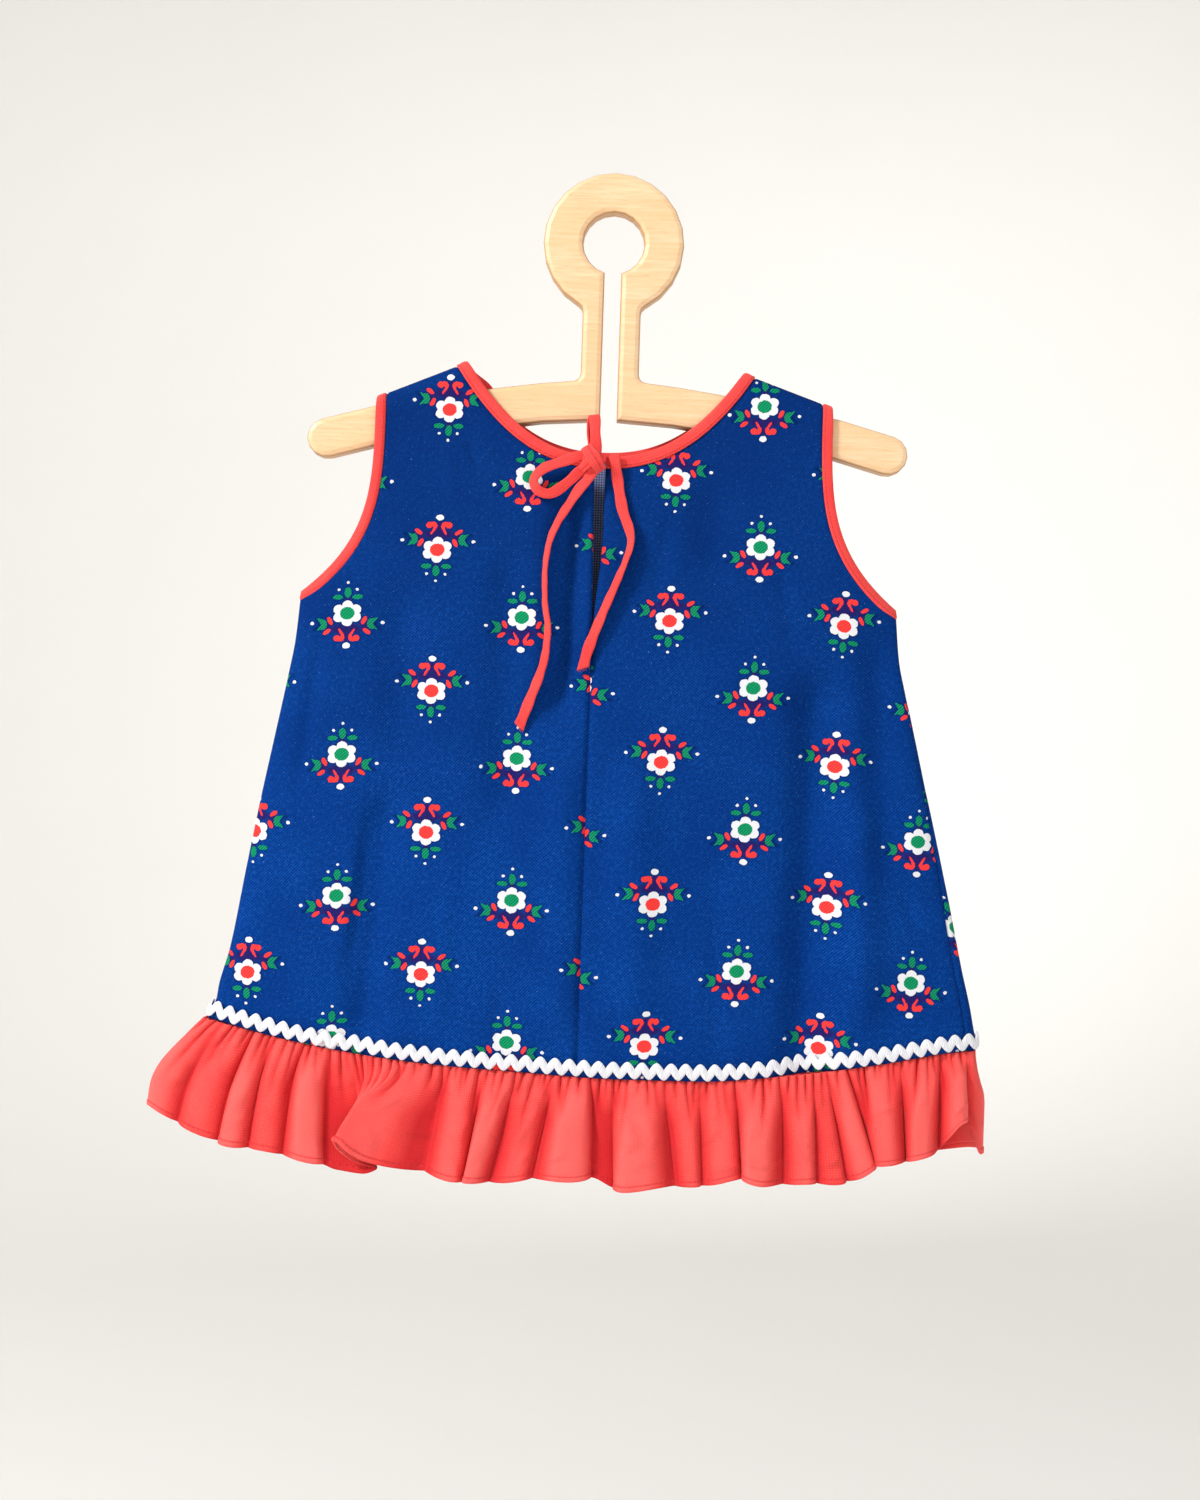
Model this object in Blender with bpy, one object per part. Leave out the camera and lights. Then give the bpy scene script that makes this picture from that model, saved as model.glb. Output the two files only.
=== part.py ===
# Toddler's sleeveless tunic hung on a flat plywood hanger.
# Frame: origin at the top of the hanger ring's hole, in the middle of the board; +Z up,
# the side with the neck slit and bow (the near side) faces -Y.
# Every size is in millimetres; MM turns it into Blender's metres.

import math

import bmesh
import bpy
from mathutils import Vector
from mathutils.bvhtree import BVHTree

MM = 0.001

# Cloth and trim
CLOTH = 1.2
SEAM_GAP = 0.3
BINDING_THICK = 2.2
NECK_BINDING = 6.0
ARM_BINDING = 5.2
BRAID_THICK = 1.0
BRAID_PITCH = 7.2
BRAID_TIP = 4.5
BRAID_FLANK = 3.0
BRAID_NOTCH = 0.2
BRAID_LIFT = 0.45
TAPE_THICK = 1.2
TAPE_WIDE = 5.6

# Hanger board
BOARD = 12.0
BOARD_ROUND = 2.5
RING_RADIUS = 35.4
HOLE_RADIUS = 15.5
SLOT_HALF = 4.2
LEG_HALF = 14.6
ARM_HALF = 9.8
RING_FILLET = 4.2
LEG_FILLET = 4.0
LEG_FOOT_Z = -85.3
SLOT_FOOT_Z = -104.7
ARM_TIP = (141.4, -117.8)

# Garment as it hangs
CENTRE_X = -2.0
NECK_HALF = 69.8
NECK_POWER = 2.33
NECK_LOW_Z = {"near": -124.0, "far": -119.5}
ARM_TOP_HALF = 114.4
ARM_FLARE = 35.4
ARM_POWER = 3.8
UNDERARM_Z = -195.5
SHOULDER_NECK_Z = {"left": -77.4, "right": -78.8}
SHOULDER_ARM_Z = {"left": -96.2, "right": -94.4}
ARCH_HEIGHT = 8.0
ROUNDNESS = {"near": 0.6, "far": 0.42}
BRAID_ABOVE_JOIN = 4.6
BRAID_STRIP = 10.0
TURN_BLEND = 11.0
UNDERARM_EASE = 0.5
UNDERARM_CROWDING = 1.5
MIDDLE_ARM_Z = -208.0

# Mesh counts
ARCH_ROWS = (0.0, 1.0, 3.4, 8.1)
NECK_ROWS = 6
ARM_ROWS = 8
BODY_ROWS = 9
HALF_COLUMNS = 14
SHOULDER_COLUMNS = 4
FAR_NECK_COLUMNS = 16
FINE = 120


class Table:
    """Rows under named columns, read smoothly along the first column."""

    def __init__(self, columns, rows):
        self.columns = columns
        self.rows = sorted(rows)

    def at(self, column, key):
        c = self.columns.index(column)
        keys = [row[0] for row in self.rows]
        values = [row[c] for row in self.rows]
        if key <= keys[0]:
            return values[0]
        if key >= keys[-1]:
            return values[-1]
        i = max(k for k in range(len(keys) - 1) if keys[k] <= key)
        slopes = [(values[k + 1] - values[k]) / (keys[k + 1] - keys[k]) for k in range(len(keys) - 1)]

        def tangent(k):
            if k == 0:
                return slopes[0]
            if k == len(keys) - 1:
                return slopes[-1]
            before, after = slopes[k - 1], slopes[k]
            if before * after <= 0:
                return 0.0
            return 2 * before * after / (before + after)

        span = keys[i + 1] - keys[i]
        t = (key - keys[i]) / span
        start, end = tangent(i) * span, tangent(i + 1) * span
        a = 2 * t ** 3 - 3 * t ** 2 + 1
        b = t ** 3 - 2 * t ** 2 + t
        c3 = -2 * t ** 3 + 3 * t ** 2
        d = t ** 3 - t ** 2
        return a * values[i] + b * start + c3 * values[i + 1] + d * end


# Half width of the cloth from its middle, below the armholes
SIDES = Table(("z", "left", "right"), [
    (-195.5, 149.8, 149.8),
    (-220.0, 151.9, 152.6),
    (-236.0, 154.6, 156.0),
    (-270.0, 161.0, 164.0),
    (-300.0, 166.7, 171.3),
    (-336.0, 173.0, 180.0),
    (-376.0, 179.8, 189.0),
    (-395.0, 184.8, 193.8),
    (-402.0, 185.8, 195.2),
    (-412.0, 190.6, 197.2),
    (-440.0, 197.0, 202.0),
])

# How far each face stands from the middle plane, and how far apart the armhole edges are
DEPTHS = Table(("z", "near", "far", "armhole"), [
    (-76.0, 7.9, 7.9, 7.9),
    (-112.0, 7.9, 7.9, 7.9),
    (-130.0, 8.8, 7.9, 8.0),
    (-150.0, 9.5, 8.0, 7.5),
    (-170.0, 10.2, 7.8, 6.0),
    (-185.0, 10.8, 8.0, 3.6),
    (-191.0, 11.0, 8.1, 1.8),
    (-195.5, 11.2, 8.2, 0.0),
    (-300.0, 13.6, 9.0, 0.0),
    (-440.0, 16.2, 10.5, 0.0),
])

# Angle of each side seam round the section: 90 lies on the outline, less lies on the near face
SEAMS = Table(("z", "left", "right"), [
    (-195.5, 90.0, 90.0),
    (-250.0, 90.0, 86.0),
    (-330.0, 90.0, 79.5),
    (-415.0, 90.0, 76.0),
])

# Edges of the two near halves at the middle: an open slit above, a seam below
MIDDLE = Table(("z", "left", "right"), [
    (-124.0, -6.5, -0.4),
    (-166.0, -5.9, -0.8),
    (-186.0, -5.5, -2.3),
    (-203.0, -5.2, -3.9),
    (-243.0, -4.7, -4.7),
    (-435.0, -5.2, -5.2),
])

# Lower edge of the printed cloth, where the ruffle is sewn on
JOIN = Table(("x", "z"), [
    (-192.0, -411.6),
    (-130.0, -423.4),
    (-80.0, -429.2),
    (-34.0, -431.8),
    (16.0, -433.8),
    (56.0, -433.6),
    (106.0, -428.8),
    (146.0, -422.8),
    (186.0, -416.0),
    (196.0, -415.4),
])

# Large soft folds of the hanging cloth; a positive depth sinks into the cloth
FOLDS = {
    "near": [
        # x top, z top, x foot, z foot, half width, depth
        (-101.0, -186.0, -98.0, -285.0, 11.0, 1.8),
        (-104.0, -290.0, -113.0, -425.0, 9.0, 3.2),
        (-48.0, -170.0, -44.0, -310.0, 11.0, 2.2),
        (-18.0, -140.0, -21.0, -262.0, 9.0, 3.4),
        (-16.0, -275.0, -14.0, -415.0, 9.0, -1.8),
        (19.0, -270.0, 21.0, -415.0, 11.0, -2.2),
        (54.0, -128.0, 56.0, -190.0, 12.0, 2.0),
        (109.0, -225.0, 108.0, -440.0, 12.0, 5.0),
        (139.0, -205.0, 146.0, -330.0, 10.0, 2.6),
        (132.0, -290.0, 136.0, -410.0, 10.0, -2.8),
    ],
    "far": [
        (-120.0, -230.0, -131.0, -440.0, 12.0, 2.2),
        (-58.0, -260.0, -64.0, -440.0, 13.0, -2.0),
        (8.0, -200.0, 4.0, -400.0, 14.0, 1.4),
        (66.0, -280.0, 74.0, -440.0, 12.0, 2.4),
        (128.0, -240.0, 140.0, -420.0, 12.0, -2.2),
    ],
}
FOLD_FADE = 28.0

# Ruffle: how far it stands out at its hem
RUFFLE_HALF = {"left": 215.4, "right": 197.6}
RUFFLE_DEPTH = {"near": 20.5, "far": 16.5}
RUFFLE_ROWS = (0.0, 0.14, 0.4, 0.72, 1.0)
GATHER_SWING = 1.1
GATHER_FADE = 0.45
RUFFLE_FULLNESS = 1.25
RUFFLE_COLUMN = 3.3

HEM = {
    "near": Table(("x", "z"), [
        (-215.5, -455.5),
        (-187.5, -469.5),
        (-165.0, -473.6),
        (-128.0, -478.9),
        (-91.0, -482.4),
        (-61.0, -486.0),
        (-26.0, -483.5),
        (3.0, -482.0),
        (16.0, -486.8),
        (55.0, -484.0),
        (80.0, -480.2),
        (95.0, -482.2),
        (127.0, -480.8),
        (143.0, -473.0),
        (163.0, -469.0),
        (180.0, -463.5),
        (195.6, -466.5),
    ]),
    "far": Table(("x", "z"), [
        (-217.4, -455.5),
        (-170.0, -473.0),
        (-90.0, -483.0),
        (0.0, -487.5),
        (90.0, -484.0),
        (160.0, -474.0),
        (195.6, -466.5),
    ]),
}

# Folds of the ruffle: each row is a valley and the ridge to the right of it
RUFFLE_FOLDS = {
    "near": [
        # valley x at join, valley x at hem, ridge height, lean to the right
        (-182.0, -203.0, 4.5, -0.2),
        (-167.0, -182.0, 5.0, -0.2),
        (-157.0, -167.0, 4.0, -0.2),
        (-139.0, -151.0, 5.5, 0.3),
        (-125.0, -126.0, 6.5, -0.5),
        (-96.0, -105.0, 5.0, -0.2),
        (-71.0, -79.0, 5.0, 0.5),
        (-51.0, -59.0, 4.5, -0.2),
        (-35.0, -47.0, 5.0, 0.5),
        (-16.0, -25.0, 6.0, 0.2),
        (12.0, 12.5, 6.0, -0.4),
        (38.0, 45.0, 3.5, 0.2),
        (50.0, 58.0, 4.5, 0.2),
        (74.0, 78.0, 6.5, -0.5),
        (97.0, 97.5, 4.5, -0.2),
        (112.0, 115.0, 5.0, -0.2),
        (128.0, 131.0, 3.5, 0.2),
        (141.0, 145.0, 5.0, 0.0),
        (156.0, 160.0, 5.5, -0.4),
        (176.0, 176.0, 5.0, -0.2),
    ],
    "far": [
        (-174.0, -194.0, 4.5, 0.2),
        (-157.0, -171.0, 5.5, 0.3),
        (-135.0, -146.0, 5.0, -0.2),
        (-117.0, -126.0, 6.0, -0.4),
        (-93.0, -99.0, 4.5, 0.2),
        (-77.0, -82.0, 5.5, 0.3),
        (-54.0, -57.0, 6.5, -0.4),
        (-27.0, -29.0, 5.0, 0.2),
        (-9.0, -10.0, 4.5, 0.3),
        (9.0, 9.0, 6.0, -0.3),
        (33.0, 33.0, 5.0, 0.2),
        (52.0, 53.0, 5.5, -0.3),
        (75.0, 76.0, 5.0, 0.4),
        (94.0, 95.0, 6.0, -0.2),
        (119.0, 121.0, 4.5, 0.2),
        (136.0, 138.0, 5.5, -0.3),
        (158.0, 160.0, 4.5, 0.2),
        (174.0, 177.0, 4.0, -0.2),
    ],
}

# Ties: route on the near side, lift in front of the cloth, turn of the tape round its route
TIE_ROUTES = {
    "tie_tail_left": [
        # x, z, lift, turn in degrees
        (-7.6, -135.4, 4.2, 10.0),
        (-15.4, -143.6, 3.2, 15.0),
        (-25.0, -160.5, 3.4, 40.0),
        (-28.8, -176.6, 4.4, 62.0),
        (-28.7, -196.6, 4.4, 62.0),
        (-26.8, -211.5, 4.2, 55.0),
        (-28.6, -229.1, 3.6, 40.0),
        (-34.6, -246.7, 2.6, 15.0),
        (-39.6, -260.4, 2.2, 0.0),
    ],
    "tie_tail_right": [
        (4.6, -129.4, 3.6, 0.0),
        (5.8, -136.4, 2.6, 0.0),
        (8.6, -150.3, 2.6, 10.0),
        (13.2, -164.6, 3.6, 50.0),
        (10.8, -176.0, 3.8, 55.0),
        (7.0, -186.0, 3.2, 30.0),
        (-0.9, -205.6, 2.6, 10.0),
        (-6.4, -220.8, 2.4, 0.0),
        (-8.6, -230.4, 2.2, 0.0),
    ],
    "bow_loop_side": [
        (-12.6, -124.4, 5.9, -10.0),
        (-22.0, -127.6, 5.9, 0.0),
        (-31.6, -131.6, 5.4, 20.0),
        (-36.2, -137.2, 4.7, 30.0),
        (-33.6, -142.4, 3.9, 20.0),
        (-27.4, -143.4, 3.6, 0.0),
        (-20.0, -138.4, 3.8, 0.0),
        (-13.6, -132.4, 4.3, 0.0),
    ],
    "bow_loop_up": [
        (-5.6, -119.6, 6.3, 0.0),
        (-6.2, -112.6, 7.2, 0.0),
        (-6.6, -106.2, 6.9, 0.0),
        (-7.2, -104.2, 5.1, 0.0),
        (-8.2, -106.6, 3.2, 0.0),
        (-8.0, -113.0, 2.6, 0.0),
        (-7.4, -119.9, 3.2, 0.0),
    ],
}
TAPE_STEP = 4.0
KNOT_PLACE = (-5.2, -127.2, 5.1)
KNOT_SIZE = (12.6, 8.4, 14.6)

COLOURS = {
    # hex colour, roughness
    "printed cotton": ("#003f8f", 0.85),
    "red cotton": ("#ff4a48", 0.8),
    "white braid": ("#f2f4fa", 0.75),
    "birch plywood": ("#f0cf9c", 0.5),
}


def ease(t):
    t = min(max(t, 0.0), 1.0)
    return t * t * (3 - 2 * t)


def mix(a, b, t):
    return a + (b - a) * t


def side_of(offset):
    return "left" if offset < 0 else "right"


def linear(channel):
    return channel / 12.92 if channel <= 0.04045 else ((channel + 0.055) / 1.055) ** 2.4


def material(name):
    found = bpy.data.materials.get(name)
    if found:
        return found
    code, roughness = COLOURS[name]
    channels = [int(code[k:k + 2], 16) / 255 for k in (1, 3, 5)]
    made = bpy.data.materials.new(name)
    made.use_nodes = True
    shader = made.node_tree.nodes["Principled BSDF"]
    shader.inputs["Base Color"].default_value = [linear(c) for c in channels] + [1.0]
    shader.inputs["Roughness"].default_value = roughness
    shader.inputs["Metallic"].default_value = 0.0
    return made


def finish(name, mesh_data, finish_name, sharp_degrees=40.0):
    """Wrap a finished bmesh, given in millimetres, as one smooth shaded object."""
    bmesh.ops.recalc_face_normals(mesh_data, faces=mesh_data.faces)
    bmesh.ops.scale(mesh_data, vec=(MM, MM, MM), verts=mesh_data.verts)
    mesh = bpy.data.meshes.new(name)
    mesh_data.to_mesh(mesh)
    mesh_data.free()
    mesh.materials.append(material(finish_name))
    mesh.shade_smooth()
    mesh.set_sharp_from_angle(angle=math.radians(sharp_degrees))
    piece = bpy.data.objects.new(name, mesh)
    bpy.context.scene.collection.objects.link(piece)
    return piece


def grid_normals(grid, closed):
    """Unit normals of a grid of points, across its rows and columns."""
    rows, columns = len(grid), len(grid[0])
    normals = []
    for i in range(rows):
        if closed:
            before, after = grid[i - 1], grid[(i + 1) % rows]
        else:
            before, after = grid[max(i - 1, 0)], grid[min(i + 1, rows - 1)]
        line = []
        for j in range(columns):
            along = after[j] - before[j]
            across = grid[i][min(j + 1, columns - 1)] - grid[i][max(j - 1, 0)]
            line.append(along.cross(across).normalized())
        normals.append(line)
    return normals


def sheet_solid(name, grid, thickness, finish_name, normals=None, closed=False):
    """One closed wall of cloth: the grid's points moved both ways by half the thickness."""
    rows, columns = len(grid), len(grid[0])
    normals = normals or grid_normals(grid, closed)
    cloth = bmesh.new()
    faces = []
    for way in (0.5, -0.5):
        faces.append([[cloth.verts.new(grid[i][j] + normals[i][j] * thickness * way)
                       for j in range(columns)] for i in range(rows)])
    front, back = faces
    spans = rows if closed else rows - 1
    for i in range(spans):
        k = (i + 1) % rows
        for j in range(columns - 1):
            corners = [(i, j), (i, j + 1), (k, j + 1), (k, j)]
            a, b, c, d = [grid[row][column] for row, column in corners]
            if (a - c).length > (b - d).length:
                corners = corners[1:] + corners[:1]
            for side in faces:
                a, b, c, d = [side[row][column] for row, column in corners]
                cloth.faces.new((a, b, c))
                cloth.faces.new((a, c, d))
        for j in (0, columns - 1):
            cloth.faces.new((front[i][j], front[k][j], back[k][j], back[i][j]))
    if not closed:
        for i in (0, rows - 1):
            for j in range(columns - 1):
                cloth.faces.new((front[i][j], front[i][j + 1], back[i][j + 1], back[i][j]))
    return finish(name, cloth, finish_name)


def draw_back(grid, sides, gap=SEAM_GAP / 2):
    """Move the named edges of a grid towards its inside, to leave half a seam gap."""
    def towards(edge, inner):
        return edge + (inner - edge).normalized() * gap

    if "first row" in sides:
        grid[0] = [towards(a, b) for a, b in zip(grid[0], grid[1])]
    if "last row" in sides:
        grid[-1] = [towards(a, b) for a, b in zip(grid[-1], grid[-2])]
    for row in grid:
        if "first column" in sides:
            row[0] = towards(row[0], row[1])
        if "last column" in sides:
            row[-1] = towards(row[-1], row[-2])
    return grid


# The garment's form

def half_width(side, z):
    """From the garment's middle to its outline at one height."""
    if z >= SHOULDER_ARM_Z[side]:
        return ARM_TOP_HALF
    if z > UNDERARM_Z:
        drop = (SHOULDER_ARM_Z[side] - z) / (SHOULDER_ARM_Z[side] - UNDERARM_Z)
        return ARM_TOP_HALF + ARM_FLARE * drop ** ARM_POWER
    return SIDES.at(side, z)


def ridge_z(side, offset):
    """Height of the shoulder line at a distance from the garment's middle."""
    t = (abs(offset) - NECK_HALF) / (ARM_TOP_HALF - NECK_HALF)
    return mix(SHOULDER_NECK_Z[side], SHOULDER_ARM_Z[side], t)


def fold_depth(face, x, z):
    """Sum of the face's soft folds at a place."""
    total = 0.0
    for x_top, z_top, x_foot, z_foot, wide, depth in FOLDS[face]:
        t = (z - z_top) / (z_foot - z_top)
        span = abs(z_foot - z_top)
        if -0.2 < t < 1.2:
            fade = ease(t * span / FOLD_FADE + 0.2) * ease((1 - t) * span / FOLD_FADE + 0.2)
            total += depth * fade * math.exp(-((x - mix(x_top, x_foot, t)) / wide) ** 2)
    return total


def cloth_point(angle, z, face=None):
    """Middle of the cloth; the angle is 0 at the near middle, 90 at the right, 180 far."""
    turn = math.radians(angle)
    side = side_of(math.sin(turn))
    face = face or ("near" if math.cos(turn) > 0 else "far")
    offset = half_width(side, z) * math.sin(turn)
    crown = abs(math.cos(turn)) ** ROUNDNESS[face]
    armhole = DEPTHS.at("armhole", z)
    stand = mix(armhole, DEPTHS.at(face, z), crown)
    below = min(max((ridge_z(side, offset) - z) / ARCH_HEIGHT, 0.0), 1.0)
    stand *= math.sqrt(1 - (1 - below) ** 2)
    x = CENTRE_X + offset
    stand -= fold_depth(face, x, z) * ease(crown * 1.4)
    return Vector((x, -stand if face == "near" else stand, z))


def cloth_angle(face, offset, z):
    """Angle of a point that is known by its distance from the middle and its height."""
    share = min(max(offset / half_width(side_of(offset), z), -1.0), 1.0)
    angle = math.degrees(math.asin(share))
    return angle if face == "near" else 180.0 - angle


def cloth_normal(angle, z):
    """Outward unit normal of the cloth, from points close by."""
    step_angle, step_z = 0.25, 0.15
    here = cloth_point(angle, z)
    down = here - cloth_point(angle, z - step_z)
    across = cloth_point(angle + step_angle, z) - cloth_point(angle - step_angle, z)
    return across.cross(down).normalized()


def shoulder_normal(side):
    """Upward normal across a shoulder seam, the same for the near and the far piece."""
    rise = SHOULDER_NECK_Z[side] - SHOULDER_ARM_Z[side]
    run = ARM_TOP_HALF - NECK_HALF
    sign = -1 if side == "left" else 1
    return Vector((sign * rise, 0, run)).normalized()


# Edges of the cut pieces, as pairs of finished edge and cut edge

def edge_pairs(edge, width, start_way, end_way):
    """Pairs (finished, cut) along a fine edge; the strip turns to the seams at its ends."""
    lengths = [0.0]
    for a, b in zip(edge, edge[1:]):
        lengths.append(lengths[-1] + (b - a).length)
    pairs = []
    for k, point in enumerate(edge):
        along = (edge[min(k + 1, len(edge) - 1)] - edge[max(k - 1, 0)]).normalized()
        into = Vector((-along.y, along.x))
        if into.dot(start_way) < 0:
            into = -into
        way = start_way.lerp(into, ease(lengths[k] / TURN_BLEND))
        if end_way:
            way = end_way.lerp(way, ease((lengths[-1] - lengths[k]) / TURN_BLEND))
        pairs.append((point, point + way.normalized() * width))
    return lengths, pairs


def pick(lengths, pairs, distances):
    """Pairs at the given distances along the edge."""
    picked = []
    for distance in distances:
        k = max(i for i in range(len(lengths) - 1) if lengths[i] <= distance or i == 0)
        t = (distance - lengths[k]) / (lengths[k + 1] - lengths[k])
        picked.append(tuple(a.lerp(b, t) for a, b in zip(pairs[k], pairs[k + 1])))
    return picked


def row_distances(total, rows, crowding=1.0):
    """Close rows over the shoulder's arch, then rows that may crowd towards the end."""
    rest = [mix(total, ARCH_ROWS[-1], (1 - k / rows) ** crowding) for k in range(1, rows + 1)]
    return list(ARCH_ROWS) + rest


def neck_pairs(side, face, rows):
    """Neck edge from the shoulder to the middle, in distances from the garment's middle."""
    sign = -1 if side == "left" else 1
    end = sign * (MIDDLE.at(side, NECK_LOW_Z["near"]) - CENTRE_X) if face == "near" else 0.0
    top = SHOULDER_NECK_Z[side]
    drop = top - NECK_LOW_Z[face]
    edge = []
    for k in range(FINE + 1):
        offset = mix(NECK_HALF, end, math.sin(math.pi / 2 * k / FINE))
        edge.append(Vector((offset, top - drop * (1 - abs(offset / NECK_HALF) ** NECK_POWER))))
    slope = (SHOULDER_ARM_Z[side] - top) / (ARM_TOP_HALF - NECK_HALF)
    start_way = Vector((1, slope)).normalized()
    lengths, pairs = edge_pairs(edge, NECK_BINDING, start_way, Vector((0, -1)))
    picked = pick(lengths, pairs, row_distances(lengths[-1], rows))
    return [tuple(Vector((sign * p.x, p.y)) for p in pair) for pair in picked]


def arm_pairs(side):
    """Armhole edge from the shoulder to the underarm."""
    sign = -1 if side == "left" else 1
    top = SHOULDER_ARM_Z[side]
    edge = []
    for k in range(FINE + 1):
        z = mix(top, UNDERARM_Z, k / FINE)
        edge.append(Vector((half_width(side, z - 1e-6), z)))
    rise = (SHOULDER_NECK_Z[side] - top) / (ARM_TOP_HALF - NECK_HALF)
    foot_z = UNDERARM_Z - ARM_BINDING
    foot = Vector((SIDES.at(side, foot_z) - edge[-1].x, foot_z - UNDERARM_Z))
    lengths, pairs = edge_pairs(edge, ARM_BINDING, Vector((-1, rise)).normalized(), foot.normalized())
    picked = pick(lengths, pairs, row_distances(lengths[-1], ARM_ROWS, UNDERARM_CROWDING))
    return [tuple(Vector((sign * p.x, p.y)) for p in pair) for pair in picked]


def on_cloth(face, offset_z, on_ridge=False):
    """Cloth point of a place given as (distance from the middle, height)."""
    offset, z = offset_z
    if on_ridge:
        return Vector((CENTRE_X + offset, 0, z))
    return cloth_point(cloth_angle(face, offset, z), z, face)


def patch(top, foot, first, last, spread_rows, spread_columns):
    """Fill between four edges of (angle, height) points, given by row and by column."""
    rows = []
    for i, v in enumerate(spread_rows):
        row = []
        for j, u in enumerate(spread_columns):
            ends = first[i].lerp(last[i], u)
            sides = top[j].lerp(foot[j], v)
            corners = top[0].lerp(top[-1], u).lerp(foot[0].lerp(foot[-1], u), v)
            row.append(ends + sides - corners)
        rows.append(row)
    return rows


def shares(points):
    """Share of the whole length at each point."""
    sums = [0.0]
    for a, b in zip(points, points[1:]):
        sums.append(sums[-1] + (b - a).length)
    return [s / sums[-1] for s in sums]


def side_edge(side, face):
    """Outer edge of a piece: armhole then side seam, as (angle, height) points."""
    sign = -1 if side == "left" else 1
    points = [cut for _, cut in arm_pairs(side)]
    edge = [Vector((cloth_angle(face, p.x, p.y), p.y)) for p in points]
    corner_z = points[-1].y - UNDERARM_EASE
    foot_angle = SEAMS.at(side, -415.0)
    foot_x = CENTRE_X + sign * SIDES.at(side, -413.0) * math.sin(math.radians(foot_angle))
    foot_z = JOIN.at("z", foot_x)
    strip_z = foot_z + BRAID_STRIP
    heights = [mix(corner_z, strip_z, k / BODY_ROWS) for k in range(1, BODY_ROWS + 1)] + [foot_z]
    edge[-1] = Vector((seam_angle(side, face, corner_z), corner_z))
    for z in heights:
        edge.append(Vector((seam_angle(side, face, z), z)))
    return edge


def seam_angle(side, face, z):
    """Angle of a side seam, counted round the face that asks for it."""
    angle = SEAMS.at(side, z)
    if side == "left":
        return -angle if face == "near" else 360.0 - angle
    return angle


def lay_grid(flat, top_is_seam, side_by_column):
    """Turn (angle, height) rows into cloth points and normals."""
    grid, normals = [], []
    for i, row in enumerate(flat):
        line, line_normals = [], []
        for j, place in enumerate(row):
            angle, z = place
            seam_side = side_by_column(j)
            if i == 0 and top_is_seam(j):
                offset = half_width(seam_side, z) * math.sin(math.radians(angle))
                line.append(Vector((CENTRE_X + offset, 0, z)))
                line_normals.append(shoulder_normal(seam_side))
            else:
                line.append(cloth_point(angle, z))
                line_normals.append(cloth_normal(angle, z))
        grid.append(line)
        normals.append(line_normals)
    return grid, normals


def near_half(side):
    """One printed near half, from the middle seam to the side seam."""
    outer = side_edge(side, "near")
    neck = [cut for _, cut in neck_pairs(side, "near", NECK_ROWS)]
    inner = [Vector((cloth_angle("near", p.x, p.y), p.y)) for p in neck]
    top_z = neck[-1].y
    middle_foot = JOIN.at("z", MIDDLE.at(side, -435.0))
    upper_rows = len(outer) - len(inner) - BODY_ROWS - 1
    heights = [mix(top_z, MIDDLE_ARM_Z, k / upper_rows) for k in range(1, upper_rows + 1)]
    strip_z = middle_foot + BRAID_STRIP
    heights += [mix(MIDDLE_ARM_Z, strip_z, k / BODY_ROWS) for k in range(1, BODY_ROWS + 1)]
    for z in heights + [middle_foot]:
        offset = MIDDLE.at(side, z) - CENTRE_X
        inner.append(Vector((cloth_angle("near", offset, z), z)))
    spread = [k / HALF_COLUMNS for k in range(HALF_COLUMNS + 1)]
    top = [inner[0].lerp(outer[0], u) for u in spread]
    for k, u in enumerate(spread):
        offset = mix(neck[0].x, arm_pairs(side)[0][1].x, u)
        z = ridge_z(side, offset)
        top[k] = Vector((cloth_angle("near", offset, z), z))
    foot = []
    for u in spread:
        angle = mix(inner[-1].x, outer[-1].x, u)
        x = CENTRE_X + SIDES.at(side, -420.0) * math.sin(math.radians(angle))
        foot.append(Vector((angle, JOIN.at("z", x))))
    foot[0], foot[-1] = inner[-1], outer[-1]
    rows = shares([Vector((p.x, p.y)) for p in outer])
    flat = patch(top, foot, inner, outer, rows, spread)
    strip = [Vector((p.x, p.y + BRAID_STRIP)) for p in flat[-1]]
    flat[-2] = strip
    grid, normals = lay_grid(flat, lambda j: True, lambda j: side)
    draw_back(grid, ("first row", "last row", "first column", "last column"))
    sheet_solid("panel_near_" + side, grid, CLOTH, "printed cotton", normals)
    return grid, normals


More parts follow.
